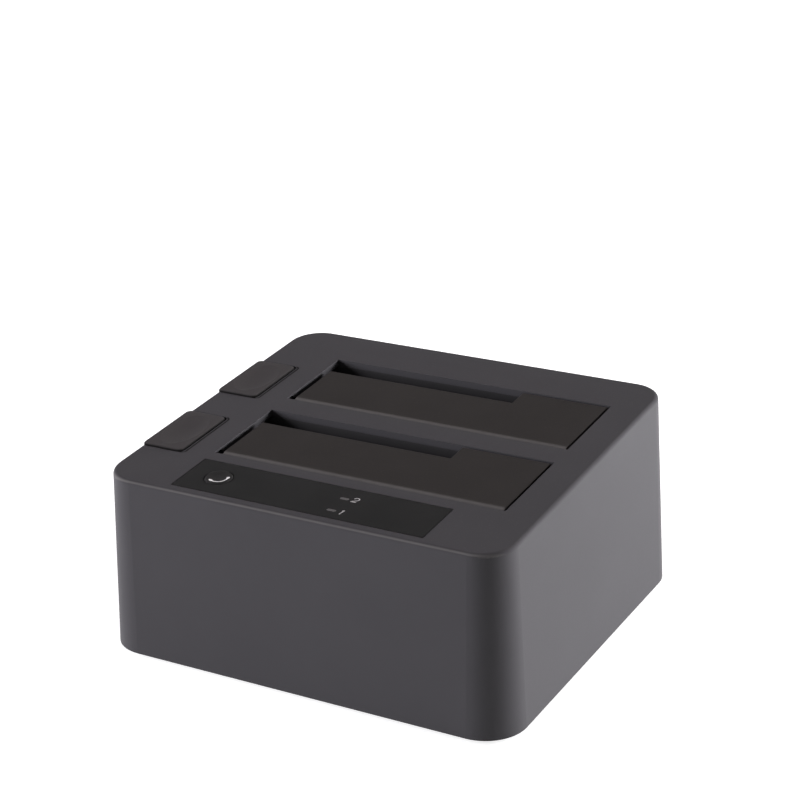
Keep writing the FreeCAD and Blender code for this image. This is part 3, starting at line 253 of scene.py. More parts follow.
class EffectGroup(Graph):
    """The inside of one shader node group."""

    def __init__(self, name: str, inputs: Iterable[tuple[str, Socket, object]],
                 outputs: Iterable[tuple[str, Socket]]) -> None:
        """Make the group with its sockets.

        Args:
            name: The group's name.
            inputs: Name, kind and default of each input.
            outputs: Name and kind of each output.
        """
        super().__init__(bpy.data.node_groups.new(name, "ShaderNodeTree"))
        for label, kind, default in inputs:
            item = self.tree.interface.new_socket(name=label, in_out="INPUT", socket_type=kind.value)
            item.default_value = (*default, 1.0) if kind is Socket.COLOUR else default
        for label, kind in outputs:
            self.tree.interface.new_socket(name=label, in_out="OUTPUT", socket_type=kind.value)
        self.entry = self.tree.nodes.new("NodeGroupInput")
        self.exit = self.tree.nodes.new("NodeGroupOutput")

    def given(self, name: str) -> NodeSocket:
        """What comes in by one of the group's inputs."""
        return self.entry.outputs[name]

    def give(self, name: str, value: NodeSocket) -> None:
        """Send a value out by one of the group's outputs."""
        self.feed(self.exit.inputs[name], value)


class EffectLibrary:
    """Shader node groups that several finishes share, each built when it is first used."""

    @cached_property
    def tone(self) -> NodeTree:
        """Slow drift of a colour over the surface, lighter and darker by the same share.

        Returns:
            The group, with inputs Colour, Spread and Patches, and output Colour.
        """
        group = EffectGroup("tone_drift",
                            [("Colour", Socket.COLOUR, Tone.CHARCOAL.value), ("Spread", Socket.VALUE, 0.1),
                             ("Patches", Socket.VALUE, 40.0)],
                            [("Colour", Socket.COLOUR)])
        low = group.math("SUBTRACT", 1.0, group.given("Spread"))
        high = group.math("ADD", 1.0, group.given("Spread"))
        factor = group.spread(group.noise(group.given("Patches"), detail=3.0), low, high)
        scaled = group.add("VectorMath", {"operation": "SCALE"}, Scale=factor)
        group.feed(scaled.inputs[0], group.given("Colour"))
        group.give("Colour", scaled.outputs[0])
        return group.tree

    @cached_property
    def grain(self) -> NodeTree:
        """Fine pitted texture that spark erosion leaves in a mould.

        Returns:
            The group, with inputs Pitch and Depth, and outputs Height and Speck.
        """
        group = EffectGroup("mould_grain",
                            [("Pitch", Socket.VALUE, 0.3 * MM), ("Depth", Socket.VALUE, 1.0)],
                            [("Height", Socket.VALUE), ("Speck", Socket.VALUE)])
        pit_share, cell_share = 0.65, 0.35
        scale = group.math("DIVIDE", 1.0, group.given("Pitch"))
        cells = group.add("TexVoronoi", {"feature": "SMOOTH_F1"}, Vector=group.place(), Scale=scale,
                          Smoothness=0.6)
        mixed = group.math("MULTIPLY_ADD", group.noise(scale, detail=3.0), pit_share,
                           group.times(cells.outputs["Distance"], cell_share))
        group.give("Height", group.times(mixed, group.given("Depth")))
        group.give("Speck", mixed)
        return group.tree

    @cached_property
    def edges(self) -> NodeTree:
        """Soft round over sharp edges, and a mask where handling has polished them, which also gives a painted
        edge highlight.

        Returns:
            The group, with inputs Radius, Gain and Break, and outputs Normal and Mask.
        """
        group = EffectGroup("edge_polish_and_highlight",
                            [("Radius", Socket.VALUE, 0.2 * MM), ("Gain", Socket.VALUE, 3.0),
                             ("Break", Socket.VALUE, 400.0)],
                            [("Normal", Socket.VECTOR), ("Mask", Socket.VALUE)])
        thinnest = 0.35
        bevel = group.add("Bevel", {"samples": 6}, Radius=group.given("Radius"))
        dot = group.add("VectorMath", {"operation": "DOT_PRODUCT"})
        group.feed_in_order(dot, (bevel.outputs[0], group.add("NewGeometry").outputs["Normal"]))
        away = group.math("SUBTRACT", 1.0, dot.outputs["Value"])
        strong = group.times(away, group.given("Gain"), clamp=True)
        patchy = group.spread(group.noise(group.given("Break"), detail=3.0), thinnest, 1.0)
        group.give("Normal", bevel.outputs[0])
        group.give("Mask", group.times(strong, patchy))
        return group.tree

    @cached_property
    def dust(self) -> NodeTree:
        """Thin dust on faces that look up, in loose drifts with single specks.

        Returns:
            The group, with input Amount, and output Mask.
        """
        group = EffectGroup("fallen_dust", [("Amount", Socket.VALUE, 0.1)], [("Mask", Socket.VALUE)])
        steepest, drifts, thinnest, specks, speck_size = 0.4, 60.0, 0.1, 700.0, 0.16
        speck_share, drift_share = 0.5, 0.35
        facing = group.parts(group.add("NewGeometry").outputs["Normal"])["Z"]
        up = group.math("SUBTRACT", facing, steepest, clamp=True)
        drift = group.spread(group.noise(drifts, detail=4.0), thinnest, 1.0)
        cells = group.add("TexVoronoi", {"feature": "F1"}, Vector=group.place(), Scale=specks)
        speck = group.math("LESS_THAN", cells.outputs["Distance"], speck_size)
        both = group.math("MULTIPLY_ADD", speck, speck_share, group.times(drift, drift_share))
        group.give("Mask", group.times(group.times(both, up), group.given("Amount"), clamp=True))
        return group.tree

    @cached_property
    def sides(self) -> NodeTree:
        """Painted shade on the upright faces of a piece, where it slides in its opening.

        Returns:
            The group, with input Amount, and output Mask.
        """
        group = EffectGroup("side_shade", [("Amount", Socket.VALUE, 0.9)], [("Mask", Socket.VALUE)])
        unshaded, shaded, patches, thinnest = 0.93, 0.6, 900.0, 0.8
        upward = group.parts(group.add("TexCoord").outputs["Normal"])["Z"]
        steep = group.add("MapRange", {"clamp": True}, Value=upward, From_Min=unshaded, From_Max=shaded)
        mask = group.times(steep.outputs[0], group.spread(group.noise(patches), thinnest, 1.0))
        group.give("Mask", group.times(mask, group.given("Amount"), clamp=True))
        return group.tree

    @cached_property
    def crest_sheen(self) -> NodeTree:
        """Painted sheen on a round edge between a piece's top and its own front.

        Returns:
            The group, with inputs Amount, Start, Full and Last, the front leans between which it shows, and
            output Mask.
        """
        group = EffectGroup("painted_crest_sheen",
                            [("Amount", Socket.VALUE, 0.9), ("Start", Socket.VALUE, 0.09),
                             ("Full", Socket.VALUE, 0.4), ("Last", Socket.VALUE, 1.1)],
                            [("Mask", Socket.VALUE)])
        last_slope, lowest, up_slope, patches, thinnest = 8.0, 0.12, 6.0, 300.0, 0.7
        normal = group.parts(group.add("TexCoord").outputs["Normal"])
        lean = group.times(normal["Y"], -1.0)
        rising = group.add("MapRange", {"clamp": True}, Value=lean, From_Min=group.given("Start"),
                           From_Max=group.given("Full"))
        falling = group.times(group.math("SUBTRACT", group.given("Last"), lean), last_slope, clamp=True)
        upward = group.times(group.math("SUBTRACT", normal["Z"], lowest), up_slope, clamp=True)
        shape = group.times(group.times(rising.outputs[0], falling), upward)
        mask = group.times(shape, group.spread(group.noise(patches), thinnest, 1.0))
        group.give("Mask", group.times(mask, group.given("Amount"), clamp=True))
        return group.tree

    @cached_property
    def smears(self) -> NodeTree:
        """Faint wiped streaks and finger marks on a polished face.

        Returns:
            The group, with inputs Low and High, and output Roughness.
        """
        group = EffectGroup("wiped_smears", [("Low", Socket.VALUE, 0.05), ("High", Socket.VALUE, 0.2)],
                            [("Roughness", Socket.VALUE)])
        wipe_angle, wipe_length, strength = math.radians(24.0), 5.0, 2.6
        streaks, prints = 110.0, 45.0
        stretched = group.add("Mapping", {}, Vector=group.place(), Rotation=(0.0, 0.0, wipe_angle),
                              Scale=(1.0, wipe_length, 1.0))
        both = group.times(group.noise(streaks, 4.0, stretched.outputs[0]), group.noise(prints))
        shown = group.times(both, strength, clamp=True)
        group.give("Roughness", group.spread(shown, group.given("Low"), group.given("High")))
        return group.tree

    @cached_property
    def drawn(self) -> NodeTree:
        """Fine lines that drawing, rolling or grinding leaves in metal.

        Returns:
            The group, with inputs Stretch and Pitch, and outputs Height and Value.
        """
        group = EffectGroup("drawn_lines",
                            [("Stretch", Socket.VECTOR, (0.05, 1.0, 1.0)), ("Pitch", Socket.VALUE, 0.2 * MM)],
                            [("Height", Socket.VALUE), ("Value", Socket.VALUE)])
        across = group.add("VectorMath", {"operation": "MULTIPLY"})
        group.feed_in_order(across, (group.place(), group.given("Stretch")))
        lines = group.noise(group.math("DIVIDE", 1.0, group.given("Pitch")), 3.0, across.outputs[0])
        for name in ("Height", "Value"):
            group.give(name, lines)
        return group.tree


class Recipe(Graph):
    """The nodes of one finish round its Principled surface, with the shared effects at hand."""

    def __init__(self, name: str, shared: EffectLibrary) -> None:
        """Make the material with its shader and nothing else.

        Args:
            name: The material's name.
            shared: The shared effects.
        """
        self.material = bpy.data.materials.new(name)
        super().__init__(clear_nodes(self.material))
        self.shared = shared
        self.surface = self.add("BsdfPrincipled")
        self.add("OutputMaterial", {}, Surface=self.surface.outputs[0])

    def effect(self, tree: NodeTree, **values: object) -> Node:
        """Place a shared effect with its own values."""
        return self.add("Group", {"node_tree": tree}, **values)

    def toned(self, colour: Colour, drift: float, patches: float) -> NodeSocket:
        """A colour that drifts by a share of itself, in so many patches per metre."""
        return self.effect(self.shared.tone, Colour=colour, Spread=drift, Patches=patches).outputs[0]

    def coat(self, **values: object) -> None:
        """Feed the surface's own inputs by name."""
        self.feed_named(self.surface, **values)

    def emboss(self, height: NodeSocket, distance: float, strength: float,
               normal: NodeSocket | None = None, invert: bool = False) -> None:
        """Raise the surface.

        Args:
            height: The height, from 0 to 1.
            distance: What 1 stands for, in metres.
            strength: How much of it shows.
            normal: The normal that it starts from.
            invert: Whether the height goes inwards.
        """
        bump = self.add("Bump", {"invert": invert}, Height=height, Distance=distance, Strength=strength)
        if normal is not None:
            self.feed_named(bump, Normal=normal)
        self.coat(Normal=bump.outputs[0])


@dataclass(frozen=True)
class Finish:
    """What every finish has: a name, and a Principled surface that its own nodes feed."""

    name: str

    def make(self, shared: EffectLibrary) -> Material:
        """Build the material.

        Args:
            shared: The shared effects.

        Returns:
            The material.
        """
        recipe = Recipe(self.name, shared)
        self.mix(recipe)
        return recipe.material

    def mix(self, recipe: Recipe) -> None:
        """Feed the surface; each kind of finish has its own way."""
        raise NotImplementedError


@dataclass(frozen=True)
class MouldedPlastic(Finish):
    """Matt or satin moulding with a spark-eroded grain."""

    colour: Colour = Tone.CHARCOAL.value
    drift: float = 0.07
    roughness: Span = (0.46, 0.6)
    specular: float = 0.5
    grain_pitch: float = 0.32 * MM
    grain_height: float = 0.012 * MM
    edge_radius: float = 0.22 * MM
    polish_and_highlight: float = 0.12
    polish_gloss: float = 0.4
    polish_gain: float = 2.4
    polish_lift: float = 0.02
    # share of painted shade on upright faces
    side_shade: float = 0.0
    painted_crest_sheen: float = 0.0
    crest_lean: tuple[float, float, float] = (0.09, 0.45, 1.2)
    dust: float = 0.12

    def mix(self, recipe: Recipe) -> None:
        """Feed the surface.

        Args:
            recipe: The finish's nodes.
        """
        shared = recipe.shared
        grain = recipe.effect(shared.grain, Pitch=self.grain_pitch, Depth=1.0)
        edge = recipe.effect(shared.edges, Radius=self.edge_radius, Gain=3.0, Break=500.0)
        # edges lighten where handling polished them, and as a painted edge highlight
        worn_and_lit = recipe.times(edge.outputs["Mask"], self.polish_and_highlight)
        lighter = tuple(min(1.0, self.polish_gain * part + self.polish_lift) for part in self.colour)
        coloured = recipe.blend(worn_and_lit, recipe.toned(self.colour, self.drift, patches=35.0), lighter)
        # painted shade: upright faces darken to near black
        if self.side_shade:
            side = recipe.effect(shared.sides, Amount=self.side_shade).outputs[0]
            coloured = recipe.blend(side, coloured, Tone.GRIME.value)
            worn_and_lit = recipe.math("SUBTRACT", worn_and_lit, side)
        # painted highlight: a lighter band where the round front edge leans forward and up
        if self.painted_crest_sheen:
            start, full, last = self.crest_lean
            crest_sheen = recipe.effect(shared.crest_sheen, Amount=self.painted_crest_sheen, Start=start, Full=full, Last=last)
            coloured = recipe.blend(crest_sheen.outputs[0], coloured, Tone.RUBBED.value)
        dust = recipe.effect(shared.dust, Amount=self.dust).outputs[0]
        matt = recipe.spread(grain.outputs["Speck"], *self.roughness)
        recipe.coat(Base_Color=recipe.blend(dust, coloured, Tone.DUST.value),
                    Roughness=recipe.math("SUBTRACT", matt, recipe.times(worn_and_lit, self.polish_gloss)),
                    Specular_IOR_Level=self.specular)
        recipe.emboss(grain.outputs["Height"], self.grain_height, strength=0.9, normal=edge.outputs["Normal"])


@dataclass(frozen=True)
class PolishedPlastic(Finish):
    """Glossy moulding that shows wiped smears, a little waviness and a painted highlight on its edges."""

    colour: Colour = Tone.INK.value
    roughness: Span = (0.05, 0.17)
    specular: float = 0.5
    waves: float = 90.0
    wave_height: float = 0.015 * MM
    edge_radius: float = 0.12 * MM
    edge_light: float = 0.35
    edge_highlight_colour: Colour = (0.3, 0.3, 0.3)
    dust: float = 0.1
    dust_colour: Colour = (0.3, 0.3, 0.29)
    dust_roughness: float = 0.5

    def mix(self, recipe: Recipe) -> None:
        """Feed the surface.

        Args:
            recipe: The finish's nodes.
        """
        shared = recipe.shared
        low, high = self.roughness
        dust = recipe.effect(shared.dust, Amount=self.dust).outputs[0]
        edge = recipe.effect(shared.edges, Radius=self.edge_radius, Gain=3.0, Break=500.0)
        smears = recipe.effect(shared.smears, Low=low, High=high).outputs[0]
        # painted highlight: edges lighten towards a pale grey
        rim = recipe.times(edge.outputs["Mask"], self.edge_light)
        lit = recipe.blend(rim, recipe.toned(self.colour, drift=0.12, patches=60.0), self.edge_highlight_colour)
        recipe.coat(Base_Color=recipe.blend(dust, lit, self.dust_colour),
                    Roughness=recipe.math("ADD", smears, recipe.times(dust, self.dust_roughness)),
                    Specular_IOR_Level=self.specular)
        waviness = recipe.noise(self.waves, detail=1.0)
        recipe.emboss(waviness, self.wave_height, strength=0.6, normal=edge.outputs["Normal"])


@dataclass(frozen=True)
class ClearPlastic(Finish):
    """Frosted clear moulding that carries light."""

    colour: Colour = (0.42, 0.45, 0.47)
    roughness: Span = (0.22, 0.42)
    clearness: float = 0.35
    frost_pitch: float = 0.15 * MM
    frost_height: float = 0.004 * MM

    def mix(self, recipe: Recipe) -> None:
        """Feed the surface.

        Args:
            recipe: The finish's nodes.
        """
        frost = recipe.effect(recipe.shared.grain, Pitch=self.frost_pitch, Depth=1.0)
        recipe.coat(Base_Color=recipe.toned(self.colour, drift=0.1, patches=300.0),
                    Roughness=recipe.spread(frost.outputs["Speck"], *self.roughness),
                    Transmission_Weight=self.clearness)
        recipe.emboss(frost.outputs["Height"], self.frost_height, strength=0.6)


@dataclass(frozen=True)
class Metal(Finish):
    """Plated, ground or drawn metal with its working lines and a slight tarnish."""

    colour: Colour = Tone.STEEL.value
    tarnish: Colour = (0.24, 0.22, 0.2)
    tarnish_share: float = 0.25
    tarnish_spots: float = 500.0
    roughness: Span = (0.22, 0.4)
    stretch: tuple[float, float, float] = (0.05, 1.0, 1.0)
    line_pitch: float = 0.2 * MM
    line_height: float = 0.004 * MM
    edge_radius: float = 0.1 * MM

    def mix(self, recipe: Recipe) -> None:
        """Feed the surface.

        Args:
            recipe: The finish's nodes.
        """
        shared = recipe.shared
        spots = recipe.spread(recipe.noise(self.tarnish_spots, detail=4.0), 0.0, 1.0)
        stain = recipe.times(spots, self.tarnish_share)
        lines = recipe.effect(shared.drawn, Stretch=self.stretch, Pitch=self.line_pitch)
        edge = recipe.effect(shared.edges, Radius=self.edge_radius, Gain=2.0, Break=700.0)
        base = recipe.toned(self.colour, drift=0.08, patches=250.0)
        recipe.coat(Base_Color=recipe.blend(stain, base, self.tarnish),
                    Roughness=recipe.spread(lines.outputs["Value"], *self.roughness), Metallic=1.0)
        recipe.emboss(lines.outputs["Height"], self.line_height, strength=0.5, normal=edge.outputs["Normal"])


@dataclass(frozen=True)
class SolderMask(Finish):
    """Circuit board: green mask over copper tracks, with tinned vias."""

    mask: Colour = (0.012, 0.085, 0.034)
    track: Colour = (0.03, 0.17, 0.07)
    tin: Colour = (0.62, 0.62, 0.6)
    track_pitch: float = 1.27 * MM
    track_width: float = 0.3
    track_length: float = 11.0
    track_height: float = 0.03 * MM
    via_pitch: float = 3.1 * MM
    via_size: float = 0.12
    roughness: Span = (0.16, 0.34)

    def mix(self, recipe: Recipe) -> None:
        """Feed the surface.

        Args:
            recipe: The finish's nodes.
        """
        low, high = self.roughness
        black = (0.0, 0.0, 0.0)
        runs = recipe.add("TexBrick", {"offset": 0.37, "squash": 1.0}, Vector=recipe.place(), Scale=1.0,
                          Color1=black, Color2=Tone.WHITE.value, Mortar=black,
                          Mortar_Size=self.track_width * self.track_pitch,
                          Brick_Width=self.track_length * self.track_pitch, Row_Height=self.track_pitch)
        vias = recipe.add("TexVoronoi", {"feature": "F1"}, Vector=recipe.place(), Scale=1.0 / self.via_pitch,
                          Randomness=0.7)
        ring = recipe.math("LESS_THAN", vias.outputs["Distance"], self.via_size)
        coppered = recipe.blend(runs.outputs["Fac"], self.track, self.mask)
        recipe.coat(Base_Color=recipe.blend(ring, coppered, self.tin), Metallic=ring,
                    Roughness=recipe.effect(recipe.shared.smears, Low=low, High=high).outputs[0])
        recipe.emboss(runs.outputs["Fac"], self.track_height, strength=0.7, invert=True)


@dataclass(frozen=True)
class RibbonJacket(Finish):
    """Flat cable: pale jacket with a round rib over each conductor."""

    colour: Colour = (0.55, 0.55, 0.53)
    groove: Colour = (0.32, 0.32, 0.3)
    pitch: float = 1.0 * MM
    rib_height: float = 0.12 * MM
    grain_pitch: float = 0.4 * MM
    roughness: Span = (0.35, 0.5)

    def mix(self, recipe: Recipe) -> None:
        """Feed the surface.

        Args:
            recipe: The finish's nodes.
        """
        turns = recipe.times(recipe.parts(recipe.place())["X"], math.tau / self.pitch)
        wave = recipe.math("MULTIPLY_ADD", recipe.math("COSINE", turns), 0.5, 0.5)
        grain = recipe.effect(recipe.shared.grain, Pitch=self.grain_pitch, Depth=0.3)
        rib = recipe.toned(self.colour, drift=0.06, patches=200.0)
        recipe.coat(Base_Color=recipe.blend(wave, self.groove, rib),
                    Roughness=recipe.spread(grain.outputs["Speck"], *self.roughness))
        recipe.emboss(wave, self.rib_height, strength=0.8)


@dataclass(frozen=True)
class PrintInk(Finish):
    """Thin pad-printed ink, a painted shade line or a painted glint, with a faint screen texture."""

    colour: Colour = (0.42, 0.41, 0.41)
    roughness: Span = (0.32, 0.5)
    screen_pitch: float = 0.12 * MM
    screen_height: float = 0.003 * MM

    def mix(self, recipe: Recipe) -> None:
        """Feed the surface.

        Args:
            recipe: The finish's nodes.
        """
        screen = recipe.effect(recipe.shared.grain, Pitch=self.screen_pitch, Depth=1.0)
        recipe.coat(Base_Color=recipe.toned(self.colour, drift=0.12, patches=900.0),
                    Roughness=recipe.spread(screen.outputs["Speck"], *self.roughness))
        recipe.emboss(screen.outputs["Height"], self.screen_height, strength=0.6)


class Finishes:
    """Every finish of the dock, by the record's material slot, and its printed inks."""

    def __init__(self) -> None:
        """Build the shared effects and each material once."""
        shared = EffectLibrary()
        self.materials = {finish.name: finish.make(shared) for finish in self.list_slots()}
        self.ink = PrintInk("label_ink").make(shared)
        # painted reflection: pale ink for the glint arc on the power button
        self.mark = PrintInk("button_glint_ink", colour=(0.8, 0.79, 0.78)).make(shared)
        # painted shade: near-black lines laid in the joints round the panel and the eject buttons
        gap_shade_ink = PrintInk("joint_gap_shade", colour=(0.006, 0.0055, 0.0055), roughness=(0.8, 0.95))
        self.joint = gap_shade_ink.make(shared)

    def list_slots(self) -> list[Finish]:
        """The finishes whose names are the record's slots.

        Returns:
            One finish for each slot.
        """
        black = Tone.BLACK.value
        return [
            MouldedPlastic("housing_shell", specular=0.16, painted_crest_sheen=0.75, crest_lean=(0.45, 0.7, 0.94)),
            MouldedPlastic("cover_plate", colour=(0.05, 0.049, 0.051)),
            MouldedPlastic("frame_plastic", colour=(0.035, 0.034, 0.035), drift=0.05),
            MouldedPlastic("door_plastic", colour=(0.025, 0.022, 0.021), roughness=(0.33, 0.45),
                           specular=0.3, grain_height=0.005 * MM, polish_and_highlight=0.3, painted_crest_sheen=0.8),
            MouldedPlastic("button_plastic", colour=(0.05, 0.046, 0.047), roughness=(0.36, 0.5),
                           specular=0.4, grain_height=0.006 * MM, edge_radius=0.05 * MM, polish_and_highlight=0.02,
                           side_shade=0.92),
            MouldedPlastic("foot_rubber", colour=(0.022, 0.022, 0.022), roughness=(0.7, 0.85),
                           specular=0.3, grain_height=0.03 * MM),
            MouldedPlastic("connector_plastic", colour=black, roughness=(0.38, 0.5)),
            MouldedPlastic("lever_plastic", colour=(0.62, 0.61, 0.57), roughness=(0.32, 0.42),
                           grain_height=0.004 * MM),
            MouldedPlastic("chip_epoxy", colour=black, roughness=(0.45, 0.6), grain_pitch=0.1 * MM),
            MouldedPlastic("coil_ferrite", colour=(0.1, 0.1, 0.105), roughness=(0.6, 0.75),
                           grain_pitch=0.2 * MM, grain_height=0.02 * MM),
            MouldedPlastic("port_insert", colour=(0.02, 0.09, 0.36), roughness=(0.34, 0.46),
                           grain_height=0.004 * MM),
            PolishedPlastic("panel_gloss"),
            PolishedPlastic("power_button_gloss", colour=(0.02, 0.019, 0.019), roughness=(0.06, 0.15)),
            ClearPlastic("light_pipe", colour=(0.12, 0.115, 0.115), clearness=0.15),
            ClearPlastic("lamp_lens", colour=(0.75, 0.74, 0.6), clearness=0.6, roughness=(0.05, 0.15)),
            Metal("screw_steel", colour=(0.09, 0.09, 0.095), roughness=(0.28, 0.45), stretch=(1.0, 1.0, 0.2)),
            Metal("switch_metal", colour=Tone.SILVER.value, roughness=(0.2, 0.34)),
            Metal("capacitor_can", colour=(0.74, 0.74, 0.75), stretch=(1.0, 1.0, 0.1),
                  roughness=(0.18, 0.3)),
            Metal("port_steel", colour=(0.6, 0.59, 0.57), stretch=(1.0, 0.05, 1.0)),
            Metal("pin_steel", colour=(0.55, 0.55, 0.56), roughness=(0.14, 0.26)),
            Metal("spring_steel", colour=(0.4, 0.4, 0.41), stretch=(1.0, 1.0, 1.0)),
            Metal("contact_metal", colour=Tone.GOLD.value, tarnish_share=0.12, roughness=(0.16, 0.3)),
            SolderMask("circuit_board"),
            RibbonJacket("ribbon_jacket"),
        ]

    def dress(self, node: str) -> None:
        """Put a CAD node's finish on it.

        Args:
            node: The node's name.
        """
        piece = frame["nodes"][node]
        slot = SLOT_OF[node]
        piece.data.materials.clear()
        piece.data.materials.append(self.materials[slot])
        LOG.info("%s has finish %s", node, slot)


def joint_named(name: str) -> dict:
    """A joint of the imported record, by its name."""
    return next(joint for joint in frame["joints"] if joint["name"] == name)


def arc(centre: Point, radius: float, start: float, end: float, steps: int) -> list[Point]:
    """Points along an arc.

    Args:
        centre: The arc's centre.
        radius: Its radius.
        start: The angle at which it begins, in degrees.
        end: The angle at which it ends.
        steps: How many lengths it is cut into.

    Returns:
        The points.
    """
    angles = [math.radians(start + (end - start) * step / steps) for step in range(steps + 1)]
    return [(centre[0] + radius * math.cos(angle), centre[1] + radius * math.sin(angle)) for angle in angles]


def line(start: Point, end: Point, steps: int = 24) -> list[Point]:
    """Points along a straight line, so that a mark on it follows the surface.

    Args:
        start: One end.
        end: The other end.
        steps: How many lengths it is cut into.

    Returns:
        The points.
    """
    (x0, y0), (x1, y1) = start, end
    return [(x0 + (x1 - x0) * step / steps, y0 + (y1 - y0) * step / steps) for step in range(steps + 1)]


@dataclass
class SlopedTop:
    """The dock's top plane, as the power button's travel and the panel's rear edge give it."""

    normal: Vector = field(default_factory=lambda: -Vector(joint_named("power_press")["axis"]).normalized())
    rear: Vector = field(default_factory=lambda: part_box("control_panel")[1])

    def at(self, x: float, y: float) -> Vector:
        """The point of the top plane over a place on the table.

        Args:
            x: Its place across.
            y: Its depth.

        Returns:
            The point.
        """
        rise = -self.normal.y / self.normal.z
        return Vector((x, y, self.rear.z + (y - self.rear.y) * rise))

    def middle_of(self, node: str) -> Vector:
        """The point of the top plane over a node's middle."""
        low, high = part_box(node)
        return self.at((low.x + high.x) / 2, (low.y + high.y) / 2)


@dataclass
class PrintedMark:
    """Flat strokes of one width, printed on the face of a CAD node."""

    name: str
    strokes: list[list[Point]]
    width: float
    film: float = 0.015 * MM
    reach: float = 1.2 * MM
    cap_steps: int = 8

    def outline(self, stroke: list[Point]) -> tuple[list[Point], list[tuple[int, ...]]]:
        """One stroke as quads along its line, with a round cap at each end.

        Args:
            stroke: The stroke's middle line.

        Returns:
            The points and the faces.
        """
        points: list[Point] = []
        faces: list[tuple[int, ...]] = []
        half = self.width / 2
        last = len(stroke) - 1
        for number, (x, y) in enumerate(stroke):
            before, after = stroke[max(number - 1, 0)], stroke[min(number + 1, last)]
            angle = math.atan2(after[1] - before[1], after[0] - before[0])
            across = (-math.sin(angle) * half, math.cos(angle) * half)
            points += [(x + across[0], y + across[1]), (x - across[0], y - across[1])]
            if number:
                start = 2 * number - 2
                faces.append((start, start + 1, start + 3, start + 2))
        for end, inward, left, right in ((0, 1, 0, 1), (last, last - 1, 2 * last + 1, 2 * last)):
            (x, y), (from_x, from_y) = stroke[end], stroke[inward]
            away = math.degrees(math.atan2(y - from_y, x - from_x))
            rim = arc((x, y), half, away - 90.0, away + 90.0, self.cap_steps)[1:-1]
            faces.append((left, *range(len(points), len(points) + len(rim)), right))
            points += rim
        return points, faces

    def print_on(self, node: str, origin: Vector, normal: Vector, body: str, ink: Material) -> None:
        """Lay the strokes on a node's surface and let them move with its body.

        Args:
            node: The CAD node that carries the print.
            origin: Where the mark's own origin lies.
            normal: Which way the printed face looks.
            body: The body that the mark rides on.
            ink: The mark's material.
        """
        carrier = frame["nodes"][node].data
        tree = BVHTree.FromPolygons([vertex.co for vertex in carrier.vertices],
                                    [tuple(face.vertices) for face in carrier.polygons])
        along = Vector((1.0, 0.0, 0.0))
        up = normal.cross(along)
        corners: list[Vector] = []
        faces: list[tuple[int, ...]] = []
        for stroke in self.strokes:
            points, rows = self.outline(stroke)
            faces += [tuple(index + len(corners) for index in row) for row in rows]
            for x, y in points:
                above = origin + along * x + up * y + normal * self.reach
                hit = tree.ray_cast(above, -normal, 2 * self.reach)[0]
                corners.append((hit if hit else above - normal * self.reach) + normal * self.film)
        mesh = bpy.data.meshes.new(self.name)
        mesh.from_pydata(corners, [], faces)
        mesh.validate()
        mesh.materials.append(ink)
        if mesh.polygons[0].normal.dot(normal) < 0:
            mesh.flip_normals()
        piece = put_in_scene(self.name, mesh)
        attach(piece, body)
        LOG.info("%s is printed on %s", self.name, node)


@dataclass
class SubAssembly:
    """CAD nodes of the dock that are dressed together."""

    nodes: tuple[str, ...] = ()

    def build(self, finishes: Finishes) -> None:
        """Dress each node.

        Args:
            finishes: The dock's finishes.
        """
        for node in self.nodes:
            finishes.dress(node)


@dataclass
class Shell(SubAssembly):
    """Top housing, bottom cover, feet and the screws, and painted shade lines in the joints round what the top
    lets through.
    """

    nodes: tuple[str, ...] = ("top_housing", "bottom_cover", "rubber_feet", "base_screws", "bay_frame_screws")
    panel_shade_line: float = 0.24 * MM
    button_shade_line: float = 0.46 * MM
    button_corner: float = 1.5 * MM
    button_overhang: float = 1.5 * MM
    shade_line_offset: float = 0.45
    corner_steps: int = 6
    top: SlopedTop = field(default_factory=SlopedTop)

    def build(self, finishes: Finishes) -> None:
        """Dress the shell and paint the shade lines in the joints.

        Args:
            finishes: The dock's finishes.
        """
        super().build(finishes)
        # painted shade lines round the panel and the eject buttons
        x, y = self.half_size("control_panel", self.panel_shade_line)
        ends = [(-x, -y), (x, -y), (x, y), (-x, y)]
        edges = [line(start, ends[number - 3]) for number, start in enumerate(ends)]
        self.draw_gap_shade("control_panel", edges, self.panel_shade_line, finishes.joint)
        for side in Side:
            button = f"{side.value}_eject_button"
            stroke = self.round_button(*self.half_size(button, self.button_shade_line))
            self.draw_gap_shade(button, [stroke], self.button_shade_line, finishes.joint)

    def half_size(self, node: str, width: float) -> Point:
        """Half of a joint's size round a node, across and up the slope.

        Args:
            node: The node that the joint runs round.
            width: The painted shade line's width.

        Returns:
            The two halves.
        """
        low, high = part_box(node)
        offset = self.shade_line_offset * width
        return (high.x - low.x) / 2 + offset, (high.y - low.y) / 2 / self.top.normal.z + offset

    def round_button(self, x: float, y: float) -> list[Point]:
        """The painted shade line in the joint of an eject button, which is open where the button wraps round the
        left edge.

        Args:
            x: Half of the joint's size across.
            y: Half of its size up the slope.

        Returns:
            The line's points.
        """
        corner, steps = self.button_corner, self.corner_steps
        left = self.button_overhang - x
        front = arc((x - corner, corner - y), corner, -90.0, 0.0, steps)
        rear = arc((x - corner, y - corner), corner, 0.0, 90.0, steps)
        return [*line((left, -y), front[0]), *front, *line(front[-1], rear[0]), *rear,
                *line(rear[-1], (left, y))]

    def draw_gap_shade(self, node: str, strokes: list[list[Point]], width: float, ink: Material) -> None:
        """Paint a dark shade line in the joint between the top and a piece in it."""
        mark = PrintedMark(f"{node}_joint", strokes, width)
        mark.print_on("top_housing", self.top.middle_of(node), self.top.normal, "dock_body", ink)


